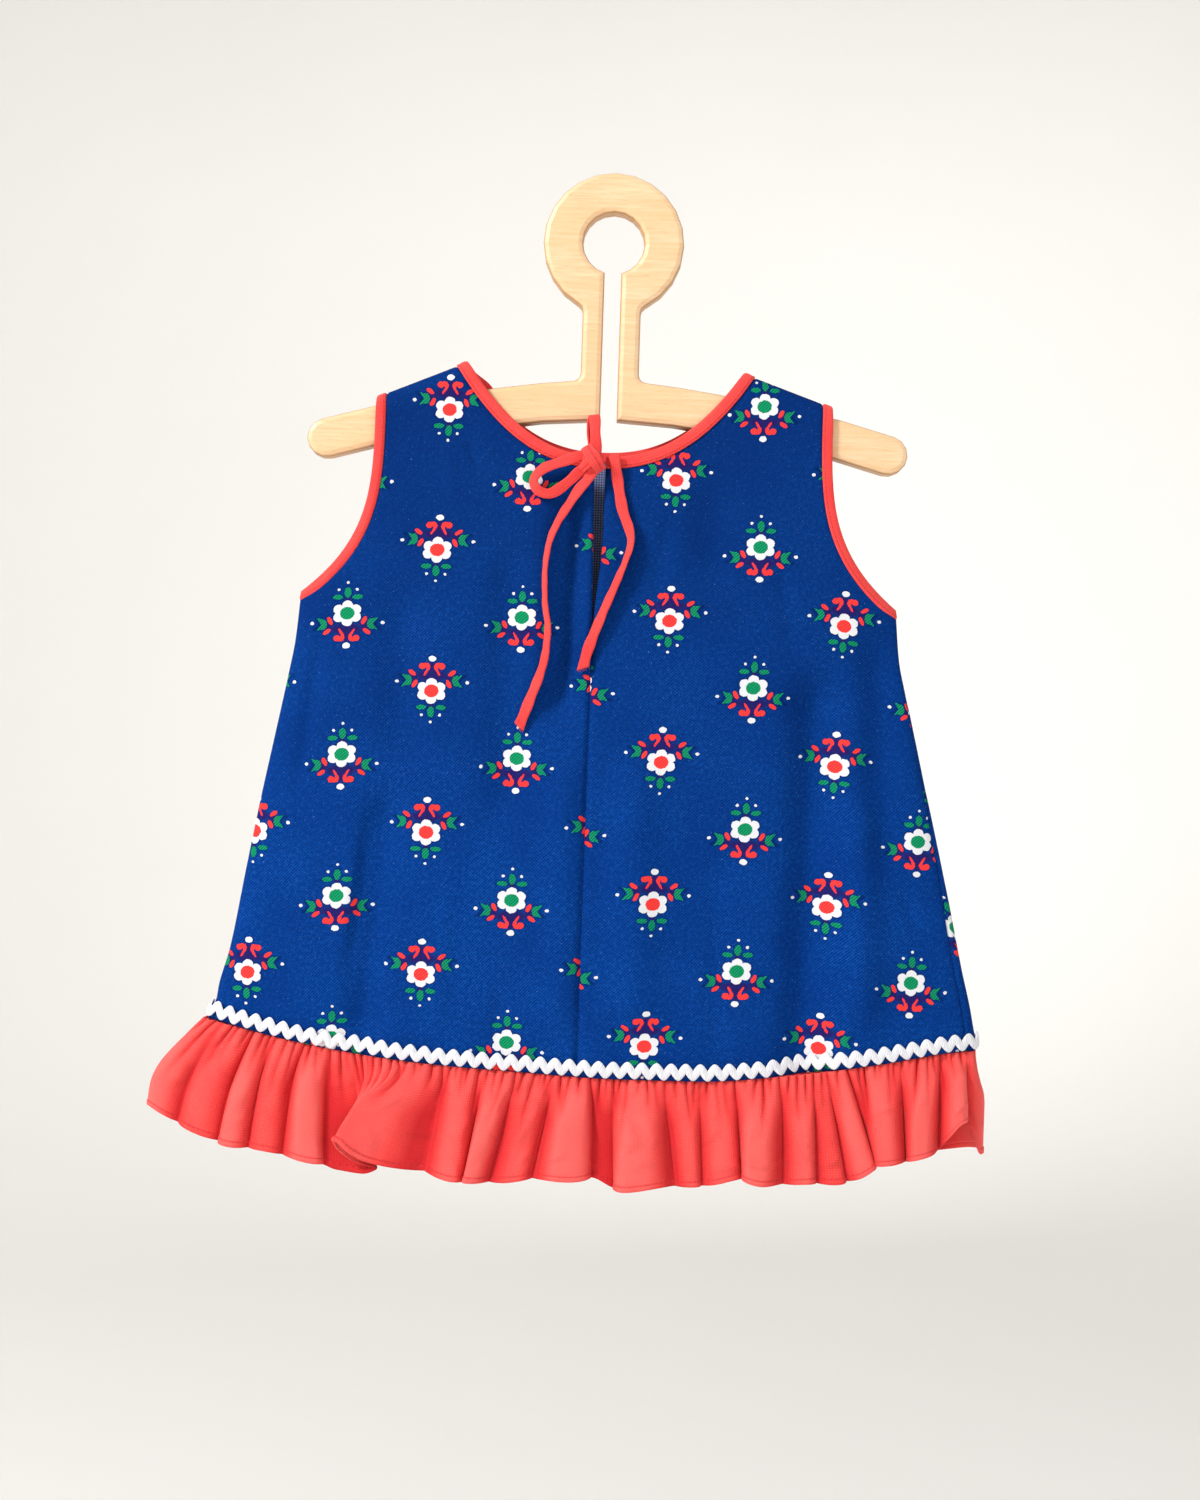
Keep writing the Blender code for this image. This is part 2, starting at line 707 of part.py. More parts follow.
def far_panel():
    """The far piece in one, from side seam to side seam."""
    right, left = side_edge("right", "far"), side_edge("left", "far")
    columns = []
    for side in ("right", "left"):
        neck = neck_pairs(side, "far", FAR_NECK_COLUMNS // 2 - 3)
        start, end = arm_pairs(side)[0][1].x, neck[0][1].x
        places = []
        for k in range(SHOULDER_COLUMNS):
            offset = mix(start, end, k / SHOULDER_COLUMNS)
            places.append((Vector((offset, ridge_z(side, offset))), True))
        places += [(pair[1], k == 0) for k, pair in enumerate(neck)]
        if side == "left":
            places = places[:-1][::-1]
        columns += [(place, seam, side) for place, seam in places]
    top = [Vector((cloth_angle("far", place.x, place.y), place.y)) for place, _, _ in columns]
    spread = [(p.x - top[0].x) / (top[-1].x - top[0].x) for p in top]
    foot = []
    for u in spread:
        angle = mix(right[-1].x, left[-1].x, u)
        side = side_of(math.sin(math.radians(angle)))
        x = CENTRE_X + SIDES.at(side, -420.0) * math.sin(math.radians(angle))
        foot.append(Vector((angle, JOIN.at("z", x))))
    foot[0], foot[-1] = right[-1], left[-1]
    flat = patch(top, foot, right, left, shares(right), spread)
    flat[-2] = [Vector((p.x, p.y + BRAID_STRIP)) for p in flat[-1]]
    grid, normals = lay_grid(flat, lambda j: columns[j][1], lambda j: columns[j][2])
    draw_back(grid, ("first row", "last row", "first column", "last column"))
    sheet_solid("panel_far", grid, CLOTH, "printed cotton", normals)
    return grid, normals


# Bias bindings

def neck_binding():
    """Red strip round the whole neck edge, open at the slit."""
    far_rows = FAR_NECK_COLUMNS // 2 - 3
    left = neck_pairs("left", "near", NECK_ROWS)[::-1]
    far_left = neck_pairs("left", "far", far_rows)[1:]
    far_right = neck_pairs("right", "far", far_rows)[:-1][::-1]
    right = neck_pairs("right", "near", NECK_ROWS)[1:]
    stations = []
    for k, pair in enumerate(left):
        stations.append([on_cloth("near", p, k == len(left) - 1) for p in pair])
    stations += [[on_cloth("far", p) for p in pair] for pair in far_left]
    for k, pair in enumerate(far_right):
        stations.append([on_cloth("far", p, k == len(far_right) - 1) for p in pair])
    stations += [[on_cloth("near", p) for p in pair] for pair in right]
    draw_back(stations, ("first row", "last row", "last column"), SEAM_GAP)
    sheet_solid("neck_binding", stations, BINDING_THICK, "red cotton")


def armhole_binding(side):
    """Red strip round one armhole, a closed ring."""
    pairs = arm_pairs(side)
    near = [[on_cloth("near", p, k == 0) for p in pair] for k, pair in enumerate(pairs)]
    far = [[on_cloth("far", p) for p in pair] for pair in pairs[1:-1]]
    for point in near[-1]:
        point.y = 0.0
    ring = near[::-1] + far
    normals = grid_normals(ring, True)
    cuts = [("near", pair[1]) for pair in pairs[::-1]] + [("far", pair[1]) for pair in pairs[1:-1]]
    for line, (face, cut) in zip(normals, cuts):
        level = cloth_normal(cloth_angle(face, cut.x, cut.y), cut.y)
        if cut is pairs[0][1]:
            level = shoulder_normal(side)
        if cut is pairs[-1][1]:
            level = Vector((math.copysign(1, cut.x), 0, 0))
        line[1] = level if level.dot(line[1]) > 0 else -level
    draw_back(ring, ("last column",), SEAM_GAP)
    sheet_solid("armhole_binding_" + side, ring, BINDING_THICK, "red cotton", normals, True)


# Zigzag braid over the join

def strip_point(upper, lower, upper_normals, lower_normals, at, height, out):
    """Point on a panel's lowest strip: at counts columns, height is above the join."""
    k = min(int(at), len(lower) - 2)
    t = at - k
    low = lower[k].lerp(lower[k + 1], t)
    high = upper[k].lerp(upper[k + 1], t)
    share = height / (high - low).length
    normal = lower_normals[k].lerp(lower_normals[k + 1], t)
    normal = normal.lerp(upper_normals[k].lerp(upper_normals[k + 1], t), share).normalized()
    return low.lerp(high, share) + normal * out


def rickrack(name, upper, lower, upper_normals, lower_normals):
    """Braid that swings up and down along the lowest strip of a panel."""
    lengths = [0.0]
    for a, b in zip(lower, lower[1:]):
        lengths.append(lengths[-1] + (b - a).length)
    waves = round(lengths[-1] / BRAID_PITCH)
    out = CLOTH / 2 + BRAID_LIFT + BRAID_THICK / 2
    wave = ((-BRAID_NOTCH, BRAID_TIP), (-BRAID_FLANK, BRAID_FLANK),
            (-BRAID_TIP, BRAID_NOTCH), (-BRAID_FLANK, BRAID_FLANK))
    samples = len(wave) * waves
    grid = []
    for k in range(samples):
        distance = (k + 0.5) / samples * lengths[-1]
        column = max(i for i in range(len(lengths) - 1) if lengths[i] <= distance)
        at = column + (distance - lengths[column]) / (lengths[column + 1] - lengths[column])
        edges = wave[k % len(wave)]
        grid.append([strip_point(upper, lower, upper_normals, lower_normals, at,
                                 BRAID_ABOVE_JOIN + edge, out) for edge in edges])
    sheet_solid(name, grid, BRAID_THICK, "white braid")


def joined(first, second, row):
    """One row of both near halves, from left to right, with its normals."""
    points = first[0][row][::-1] + second[0][row]
    normals = first[1][row][::-1] + second[1][row]
    return points, normals


# Gathered ruffle

def ruffle_base(angle, share):
    """Point of the smooth form that the ruffle's folds stand on, without its height."""
    turn = math.radians(angle)
    side = side_of(math.sin(turn))
    face = "near" if math.cos(turn) > 0 else "far"
    top_half = SIDES.at(side, -418.0)
    half = mix(top_half, RUFFLE_HALF[side], share)
    depth = mix(DEPTHS.at(face, -425.0), RUFFLE_DEPTH[face], share)
    crown = abs(math.cos(turn)) ** ROUNDNESS[face]
    sign = -1 if face == "near" else 1
    x = CENTRE_X + half * math.sin(turn)
    return Vector((x, sign * depth * crown, 0))


def ruffle_angle(face, x, share):
    side = side_of(x - CENTRE_X)
    half = mix(SIDES.at(side, -418.0), RUFFLE_HALF[side], share)
    angle = math.degrees(math.asin(min(max((x - CENTRE_X) / half, -1.0), 1.0)))
    return angle if face == "near" else 180.0 - angle


def ruffle(face):
    """Gathered frill: valleys and ridges from the fold table, small gathers at the join."""
    folds = RUFFLE_FOLDS[face]
    left, right = SEAMS.at("left", -415.0), SEAMS.at("right", -415.0)
    ends = (-left, right) if face == "near" else (360.0 - left, right)
    valleys = [(ends[0], ends[0], 3.5, 0.0)]
    for join_x, hem_x, height, lean in folds:
        valleys.append((ruffle_angle(face, join_x, 0), ruffle_angle(face, hem_x, 1), height, lean))
    valleys.append((ends[1], ends[1], 0.0, 0.0))
    marks = []
    for k in range(len(valleys) - 1):
        here, after = valleys[k], valleys[k + 1]
        width = (ruffle_base(after[0], 0) - ruffle_base(here[0], 0)).length
        count = max(2, 2 * round(width / (2 * RUFFLE_COLUMN)))
        marks += [(k, i / count) for i in range(count)]
    marks.append((len(valleys) - 2, 1.0))
    grid = []
    for share in RUFFLE_ROWS:
        row = []
        for column, (k, t) in enumerate(marks):
            here, after = valleys[k], valleys[k + 1]
            angle = mix(mix(here[0], after[0], t), mix(here[1], after[1], t), share)
            base = ruffle_base(angle, share)
            along = ruffle_base(angle + 0.6, share) - ruffle_base(angle - 0.6, share)
            along.normalize()
            out = Vector((along.y, -along.x, 0))
            ridge = RUFFLE_FULLNESS * here[2] * (1 - abs(2 * t - 1) ** 2.2) * ease(share * 1.6 + 0.12)
            edge = min(column, len(marks) - 1 - column)
            gather = GATHER_SWING * (-1) ** column * max(1 - share / GATHER_FADE, 0.0)
            gather *= min(edge / 2, 1.0)
            point = base + out * (ridge + gather) + along * here[3] * ridge
            join_z = JOIN.at("z", min(max(base.x, -192.0), 196.0))
            point.z = mix(join_z - SEAM_GAP, HEM[face].at("z", base.x), share)
            row.append(point)
        grid.append(row)
    draw_back(grid, ("first column", "last column"))
    normals = grid_normals(grid, False)
    for share, row in zip(RUFFLE_ROWS, normals):
        for column, angle in ((0, ends[0]), (-1, ends[1])):
            along = ruffle_base(angle + 0.6, share) - ruffle_base(angle - 0.6, share)
            row[column] = Vector((along.y, -along.x, 0)).normalized()
    if normals[0][1].dot(normals[0][0]) < 0:
        for row in normals:
            row[1:-1] = [-normal for normal in row[1:-1]]
    sheet_solid("ruffle_" + face, grid, CLOTH, "red cotton", normals)
    return grid


# Ties and bow

def smooth_route(rows, step):
    """Even stations on a smooth curve through the rows of a route."""
    def between(p0, p1, p2, p3, t):
        return [0.5 * (2 * b + (c - a) * t + (2 * a - 5 * b + 4 * c - d) * t ** 2
                       + (3 * b - a - 3 * c + d) * t ** 3) for a, b, c, d in zip(p0, p1, p2, p3)]

    fine = []
    for k in range(len(rows) - 1):
        p0, p3 = rows[max(k - 1, 0)], rows[min(k + 2, len(rows) - 1)]
        fine += [between(p0, rows[k], rows[k + 1], p3, i / 10) for i in range(10)]
    fine.append(list(rows[-1]))
    lengths = [0.0]
    for a, b in zip(fine, fine[1:]):
        lengths.append(lengths[-1] + math.dist(a[:3], b[:3]))
    count = max(2, round(lengths[-1] / step))
    stations = []
    for i in range(count + 1):
        distance = lengths[-1] * i / count
        k = max(j for j in range(len(lengths) - 1) if lengths[j] <= distance or j == 0)
        t = (distance - lengths[k]) / (lengths[k + 1] - lengths[k])
        stations.append([mix(a, b, t) for a, b in zip(fine[k], fine[k + 1])])
    return stations


def near_cloth(halves):
    """Both near halves as one net of faces, to read how far forward the cloth stands."""
    points, faces = [], []
    for grid, _ in halves:
        start, columns = len(points), len(grid[0])
        points += [point for row in grid for point in row]
        for i in range(len(grid) - 1):
            for j in range(columns - 1):
                a = start + i * columns + j
                faces.append((a, a + 1, a + columns + 1, a + columns))
    return BVHTree.FromPolygons(points, faces)


def front_y(net, x, z, reach):
    """Foremost cloth within a tape's reach of a place on the near side."""
    z = min(z, NECK_LOW_Z["near"] - NECK_BINDING - 1)
    found = []
    for way in (-reach, -reach / 2, 0, reach / 2, reach):
        hit = net.ray_cast(Vector((x + way, -100, z)), Vector((0, 1, 0)))[0]
        if hit:
            found.append(hit.y)
    return min(found)


def tape(name, route, wide, net):
    """Flat tape along a route; its turn of 0 faces the viewer, 90 stands on edge."""
    stations = smooth_route(route, TAPE_STEP)
    places = [Vector((x, front_y(net, x, z, wide / 2) - lift, z)) for x, z, lift, _ in stations]
    grid = []
    level = None
    for k, place in enumerate(places):
        along = (places[min(k + 1, len(places) - 1)] - places[max(k - 1, 0)]).normalized()
        if level is None:
            level = along.cross(Vector((0, 1, 0)))
        level = (level - along * level.dot(along)).normalized()
        upright = along.cross(level)
        turn = math.radians(stations[k][3])
        across = level * math.cos(turn) + upright * math.sin(turn)
        grid.append([place - across * wide / 2, place + across * wide / 2])
    sheet_solid(name, grid, TAPE_THICK, "red cotton")


def knot(net):
    """Tight knot of the two tapes, in front of the binding's ends."""
    x, z, lift = KNOT_PLACE
    ball = bmesh.new()
    bmesh.ops.create_uvsphere(ball, u_segments=12, v_segments=8, radius=0.5)
    bmesh.ops.scale(ball, vec=KNOT_SIZE, verts=ball.verts)
    place = Vector((x, front_y(net, x, z, KNOT_SIZE[0] / 2) - lift, z))
    bmesh.ops.translate(ball, vec=place, verts=ball.verts)
    finish("tie_knot", ball, "red cotton", 80.0)


# Hanger

def arc(centre, radius, start, end, count):
    """Points round a centre from one angle to another, in degrees."""
    points = []
    for k in range(count + 1):
        turn = math.radians(mix(start, end, k / count))
        points.append((centre[0] + radius * math.cos(turn), centre[1] + radius * math.sin(turn)))
    return points


ARM_LINE = Table(("x", "z"), [
    (LEG_HALF, -95.1),
    (34.0, -96.8),
    (60.0, -100.6),
    (114.0, -110.2),
    ARM_TIP,
])


def hanger_outline():
    """Right half of the board, from the ring's top round the arm to the top of the hole."""
    ring = (0.0, -HOLE_RADIUS)
    reach = RING_RADIUS + RING_FILLET
    fillet = (LEG_HALF + RING_FILLET, ring[1] - math.sqrt(reach ** 2 - (LEG_HALF + RING_FILLET) ** 2))
    meet = math.degrees(math.atan2(fillet[1] - ring[1], fillet[0]))
    points = arc(ring, RING_RADIUS, 90, meet, 10)
    points += arc(fillet, RING_FILLET, 180 + meet, 180, 2)[1:]
    foot = (LEG_HALF + LEG_FILLET, LEG_FOOT_Z + LEG_FILLET)
    points += arc(foot, LEG_FILLET, 180, 262, 3)
    upper, lower = [], []
    for x in (34.0, 56.0, 84.0, 114.0):
        slope = (ARM_LINE.at("z", x + 2) - ARM_LINE.at("z", x - 2)) / 4
        across = Vector((-slope, 1)).normalized() * ARM_HALF
        middle = Vector((x, ARM_LINE.at("z", x)))
        upper.append(tuple(middle + across))
        lower.append(tuple(middle - across))
    tip_slope = math.degrees(math.atan2(ARM_TIP[1] + 110.2, ARM_TIP[0] - 114.0))
    points += upper + arc(ARM_TIP, ARM_HALF, 90 + tip_slope, -90 + tip_slope, 7) + lower[::-1]
    points += [(SLOT_HALF, SLOT_FOOT_Z)]
    slot_turn = math.degrees(math.acos(SLOT_HALF / HOLE_RADIUS))
    points += arc(ring, HOLE_RADIUS, -slot_turn, 90, 9)
    return points


def hanger():
    """Board cut to its outline, its edges rounded over on both faces."""
    half = hanger_outline()
    half[0], half[-1] = (0.0, half[0][1]), (0.0, half[-1][1])
    outline = half + [(-x, z) for x, z in half[-2:0:-1]]
    board = bmesh.new()
    front = board.faces.new([board.verts.new((x, -BOARD / 2, z)) for x, z in outline])
    grown = bmesh.ops.extrude_face_region(board, geom=[front])
    moved = [item for item in grown["geom"] if isinstance(item, bmesh.types.BMVert)]
    bmesh.ops.translate(board, vec=(0, BOARD, 0), verts=moved)
    bmesh.ops.recalc_face_normals(board, faces=board.faces)
    rims = [edge for edge in board.edges if abs(edge.verts[0].co.y - edge.verts[1].co.y) < 1e-6]
    bmesh.ops.bevel(board, geom=rims, offset=BOARD_ROUND, segments=2, profile=0.5,
                    affect="EDGES", clamp_overlap=False)
    bmesh.ops.triangulate(board, faces=[face for face in board.faces if len(face.verts) > 4])
    finish("hanger", board, "birch plywood", 35.0)


def build():
    for old in list(bpy.data.objects):
        bpy.data.objects.remove(old, do_unlink=True)
    hanger()
    left, right = near_half("left"), near_half("right")
    far = far_panel()
    neck_binding()
    for side in ("left", "right"):
        armhole_binding(side)
    lower, lower_normals = joined(left, right, -1)
    upper, upper_normals = joined(left, right, -2)
    rickrack("rickrack_near", upper, lower, upper_normals, lower_normals)
    rickrack("rickrack_far", far[0][-2], far[0][-1], far[1][-2], far[1][-1])
    for face in ("near", "far"):
        ruffle(face)
    net = near_cloth((left, right))
    knot(net)
    for name, route in TIE_ROUTES.items():
        tape(name, route, TAPE_WIDE, net)


build()
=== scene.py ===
import functools
import math

import bpy
import numpy as np
from mathutils import Matrix, Vector


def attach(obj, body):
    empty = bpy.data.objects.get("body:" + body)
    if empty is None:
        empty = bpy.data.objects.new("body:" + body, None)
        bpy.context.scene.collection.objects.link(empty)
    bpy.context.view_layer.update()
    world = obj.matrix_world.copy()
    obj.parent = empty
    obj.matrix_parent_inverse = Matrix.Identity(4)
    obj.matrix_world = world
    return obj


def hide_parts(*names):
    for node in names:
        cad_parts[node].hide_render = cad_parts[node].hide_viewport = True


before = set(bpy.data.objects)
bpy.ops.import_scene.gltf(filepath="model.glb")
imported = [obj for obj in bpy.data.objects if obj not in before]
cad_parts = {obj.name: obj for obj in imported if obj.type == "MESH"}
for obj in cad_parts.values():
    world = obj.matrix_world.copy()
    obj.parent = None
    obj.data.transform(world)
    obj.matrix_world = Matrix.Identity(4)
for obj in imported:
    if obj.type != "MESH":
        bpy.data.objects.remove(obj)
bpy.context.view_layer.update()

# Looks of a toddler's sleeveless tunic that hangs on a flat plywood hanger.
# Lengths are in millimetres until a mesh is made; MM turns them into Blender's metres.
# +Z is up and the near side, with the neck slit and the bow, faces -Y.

MM = 0.001
BODY = "root"
SIGN = {"left": -1, "right": 1}

# Camera, at the photograph's angle
CAMERA_PLACE = (0.0012, -0.9475, -0.2706)
CAMERA_TILT = 1.85
LENS, SENSOR = 45.0, 36.0

# Cloth and trim
CLOTH = 0.7
NECK_BINDING = 5.4
ARM_BINDING = 4.6
TAPE_WIDE = 5.4
TAPE_HEIGHT = 1.15
BRAID_PITCH = 7.2
BRAID_TIP = 4.15
BRAID_NOTCH = 0.55
BRAID_ROUND = 0.52
BRAID_ABOVE_JOIN = 4.6
BRAID_OUT = 1.5
BRAID_THICK = 0.7
HEM_FOLD = 3.2
HEM_STEP = 0.45
SEAM_ROUND = 0.9
SEAM_DEPTH = 0.8

# Garment as it hangs
CENTRE_X = -2.0
NECK_HALF = 69.8
NECK_POWER = 2.33
NECK_LOW_Z = {"near": -124.0, "far": -119.5}
FAR_NECK_IN = 3.8
FAR_NECK_Z = -88.0
FAR_NECK_TALL = 10.0
FAR_NECK_START = 9.0
ARM_TOP_HALF = 114.4
ARM_FLARE = 35.4
ARM_POWER = 3.8
UNDERARM_Z = -195.5
SHOULDER_NECK_Z = {"left": -77.4, "right": -78.8}
SHOULDER_ARM_Z = {"left": -96.2, "right": -94.4}
ARCH_HEIGHT = 8.0
ROUNDNESS = {"near": 0.6, "far": 0.42}
TURN_BLEND = 11.0
MIDDLE_ARM_Z = -208.0

# Heights at which the foot of the cloth reads the tables below
SEAM_FOOT_Z = -415.0
SIDE_FOOT_Z = -413.0
JOIN_LEVEL_Z = -420.0
FRILL_TOP_Z = -418.0
FRILL_DEPTH_Z = -425.0
MIDDLE_FOOT_Z = -435.0

# Mesh counts
ARCH_STEPS = (0.0, 0.5, 1.2, 2.2, 3.4, 5.0, 8.1)
NECK_STEPS = 24
ARM_STEPS = 44
UNDERARM_CROWDING = 1.3
BODY_STEPS = 84
HALF_COLUMNS = 76
SHOULDER_COLUMNS = 20
FINE = 240
BINDING_STEPS = 60
BRAID_SAMPLES = 16


def ease(t):
    t = np.clip(t, 0.0, 1.0)
    return t * t * (3 - 2 * t)


def mix(a, b, t):
    return a + (b - a) * t


def unit(vectors):
    return vectors / np.maximum(np.linalg.norm(vectors, axis=-1, keepdims=True), 1e-9)


def by_side(right, pair):
    return np.where(right, pair["right"], pair["left"])


def by_face(near, pair):
    return np.where(near, pair["near"], pair["far"])


class Table:
    """Rows under named columns, read smoothly along the first column."""

    def __init__(self, columns, rows):
        rows = np.array(sorted(rows), float)
        self.keys = rows[:, 0]
        self.values = {name: rows[:, c] for c, name in enumerate(columns)}

    def row(self, key):
        return {name: self.at(name, key) for name in self.values}

    def at(self, column, key):
        keys, values = self.keys, self.values[column]
        key = np.clip(key, keys[0], keys[-1])
        slopes = np.diff(values) / np.diff(keys)
        product = slopes[:-1] * slopes[1:]
        total = slopes[:-1] + slopes[1:]
        inner = np.where(product > 0, 2 * product / np.where(total == 0, 1, total), 0)
        tangents = np.concatenate(([slopes[0]], inner, [slopes[-1]]))
        i = np.clip(np.searchsorted(keys, key, side="right") - 1, 0, len(keys) - 2)
        span = keys[i + 1] - keys[i]
        t = (key - keys[i]) / span
        return ((2 * t ** 3 - 3 * t ** 2 + 1) * values[i]
                + (t ** 3 - 2 * t ** 2 + t) * span * tangents[i]
                + (3 * t ** 2 - 2 * t ** 3) * values[i + 1]
                + (t ** 3 - t ** 2) * span * tangents[i + 1])


# Half width of the cloth from its middle, below the armholes
SIDES = Table(("z", "left", "right"), [
    (-195.5, 149.8, 149.8), (-220, 151.9, 152.6), (-236, 154.6, 156), (-270, 161, 164),
    (-300, 166.7, 171.3), (-336, 173, 180), (-376, 179.8, 189), (-395, 184.8, 193.8),
    (-402, 185.8, 195.2), (-412, 190.6, 197.2), (-440, 197, 202),
])

# How far each face stands from the middle plane, and how far apart the armhole edges are
DEPTHS = Table(("z", "near", "far", "armhole"), [
    (-76, 7.9, 7.9, 7.9), (-112, 7.9, 7.9, 7.9), (-130, 8.8, 7.9, 8), (-150, 9.5, 8, 7.5),
    (-170, 10.2, 7.8, 6), (-185, 10.8, 8, 3.6), (-191, 11, 8.1, 1.8), (-195.5, 11.2, 8.2, 0),
    (-300, 13.6, 9, 0), (-440, 16.2, 10.5, 0),
])

# Angle of each side seam round the section: 90 lies on the outline, less lies on the near face
SEAMS = Table(("z", "left", "right"), [
    (-195.5, 90, 90), (-250, 90, 86), (-330, 90, 79.5), (-415, 90, 76),
])

# Edges of the two near halves at the middle: an open slit above, a seam below
MIDDLE = Table(("z", "left", "right"), [
    (-124, -6.5, -0.4), (-166, -5.9, -0.8), (-186, -5.5, -2.3), (-203, -5.2, -3.9),
    (-243, -4.7, -4.7), (-435, -5.2, -5.2),
])

# Lower edge of the printed cloth, where the ruffle is sewn on
JOIN = Table(("x", "z"), [
    (-192, -411.6), (-130, -423.4), (-80, -429.2), (-34, -431.8), (16, -433.8), (56, -433.6),
    (106, -428.8), (146, -422.8), (186, -416), (196, -415.4),
])

# Large soft folds of the hanging cloth, then the smaller creases on top of them
FOLDS = {
    "near": [
        # x top, z top, x foot, z foot, half width, depth inwards
        (-101, -186, -98, -285, 11, 1.8), (-104, -290, -113, -425, 9, 3.2),
        (-48, -170, -44, -310, 11, 2.2), (-18, -140, -21, -262, 9, 3.4),
        (-16, -275, -14, -415, 9, -1.8), (19, -270, 21, -415, 11, -2.2),
        (54, -128, 56, -190, 12, 2), (109, -225, 108, -440, 12, 5),
        (139, -205, 146, -330, 10, 2.6), (132, -290, 136, -410, 10, -2.8),
    ],
    "far": [
        (-120, -230, -131, -440, 12, 2.2), (-58, -260, -64, -440, 13, -2),
        (8, -200, 4, -400, 14, 1.4), (66, -280, 74, -440, 12, 2.4),
        (128, -240, 140, -420, 12, -2.2),
    ],
}
CREASES = {
    "near": [
        (-71, -112, -62, -142, 3, 0.7), (-80, -118, -76, -150, 4, -0.5),
        (-113, -305, -122, -392, 3.2, 1), (-122, -392, -137, -404, 3, 0.7),
        (-118, -320, -124, -380, 4, -0.6), (-46, -385, -44, -428, 3.2, 0.7),
        (14, -388, 16, -430, 3.2, 0.8), (153, -330, 165, -362, 3.4, 0.9),
        (134, -395, 150, -412, 3.2, 0.8), (88, -170, 96, -226, 4, 0.6),
        (-140, -212, -150, -300, 4, 0.7), (60, -330, 64, -425, 4.5, 0.6),
        (-72, -330, -76, -425, 4, -0.5), (34, -140, 24, -205, 3.6, 0.5),
    ],
    "far": [
        (-90, -150, -98, -230, 4, 0.7), (-30, -240, -34, -330, 3.4, 0.8),
        (-104, -330, -112, -425, 3.6, 0.9), (36, -150, 40, -260, 4, 0.6),
        (100, -180, 108, -300, 3.6, 0.8), (36, -350, 38, -430, 3.4, 0.7),
        (96, -340, 104, -428, 3.2, -0.7), (-150, -300, -160, -400, 3.6, 0.8),
    ],
}
FOLD_FADE = 28.0
FOLD_START = 1.4
FOLD_TAIL = 0.2
FOLD_STRENGTH = 1.7
CREASE_STRENGTH = 2.1
RUMPLE_WAVES = ((0.061, 0.023, 0.0), (-0.037, 0.049, 1.7), (0.113, -0.031, 4.1),
                (0.027, 0.088, 2.6))
RUMPLE_DEPTH = 0.13
RUMPLE_SEED = {"near": 0.0, "far": 2.0}
GIRTH_STEPS = 48

# Ruffle: how far it stands out at its hem
RUFFLE_HALF = {"left": 215.4, "right": 197.6}
RUFFLE_DEPTH = {"near": 20.5, "far": 16.5}
RUFFLE_FULLNESS = 1.25
RUFFLE_COLUMN = 0.62
RUFFLE_TALL = 56.0
RUFFLE_SHARES = np.concatenate((np.linspace(0, 0.4, 14), np.linspace(0.4, 0.92, 14)[1:],
                                (0.935, 0.945, 0.955, 0.965, 0.98, 1.0)))
RIDGE_ROUND = 2.8
RIDGE_RISE = 1.6
RIDGE_START = 0.12
LEAN_GROWTH = 0.8
END_COLUMNS = 3
FRILL_BULGE = 2.4
JOIN_OVERLAP = 0.3
GATHER_SEED = {"near": 5, "far": 9}
FORM_COLUMNS = 42
FOLD_RANGE = 6.0

# Curl of the ruffle's corner by the right side seam
CURL_X = 186.0
CURL_Z = -447.0
CURL_OUT = 3.5
CURL_WIDE = 8.0
CURL_TOP = 0.45
CURL_TALL = 0.4
CURL_TURN = 9.0

HEM = {
    "near": Table(("x", "z"), [
        (-215.5, -455.5), (-187.5, -469.5), (-165, -473.6), (-132, -479.5), (-122, -483),
        (-110, -483.5), (-101, -480.5), (-97, -472), (-94, -466.5), (-90, -467.5), (-86, -472.5),
        (-83, -477), (-79, -481), (-61, -486), (-26, -483.5), (3, -482), (16, -486.8), (55, -484),
        (80, -480.2), (95, -482.2), (127, -480.8), (143, -473), (163, -469), (174, -466.5),
        (180, -457.5), (186, -449.5), (195.6, -447),
    ]),
    "far": Table(("x", "z"), [
        (-217.4, -455.5), (-170, -473), (-90, -483), (0, -487.5), (90, -484), (160, -474),
        (195.6, -466.5),
    ]),
}

# Folds of the ruffle: each row is a valley and the ridge to the right of it
RUFFLE_FOLDS = {
    "near": [
        # valley x at join, valley x at hem, ridge height, lean to the right
        (-182, -203, 3, -0.1), (-167, -182, 4.5, -0.3), (-157, -167, 3.2, 0.1),
        (-143, -150, 5, 0.4), (-129.5, -129, 0.4, 0), (-118, -101, 8, -3), (-71, -79, 4, 0.3),
        (-51, -59, 5.5, -0.5), (-35, -47, 3.4, 0.3), (-16, -26, 6.5, 0.3), (3, 3.5, 0.6, 0),
        (12.5, 15, 7, -0.6), (38, 45, 3, 0.3), (56, 58, 3.4, 0.4), (74, 78.5, 6.5, -0.6),
        (97, 98.5, 4, 0.2), (113, 115, 3, 0.4), (119, 130, 4.5, 0.5), (130, 144, 5.5, -0.5),
        (156, 160, 6, -0.5), (176, 176, 4.5, -0.2),
    ],
    "far": [
        (-174, -194, 4.5, 0.2), (-157, -171, 5.5, 0.3), (-135, -146, 5, -0.2),
        (-117, -126, 6, -0.4), (-93, -99, 4.5, 0.2), (-77, -82, 5.5, 0.3), (-54, -57, 6.5, -0.4),
        (-27, -29, 5, 0.2), (-9, -10, 4.5, 0.3), (9, 9, 6, -0.3), (33, 33, 5, 0.2),
        (52, 53, 5.5, -0.3), (75, 76, 5, 0.4), (94, 95, 6, -0.2), (119, 121, 4.5, 0.2),
        (136, 138, 5.5, -0.3), (158, 160, 4.5, 0.2), (174, 177, 4, -0.2),
    ],
}

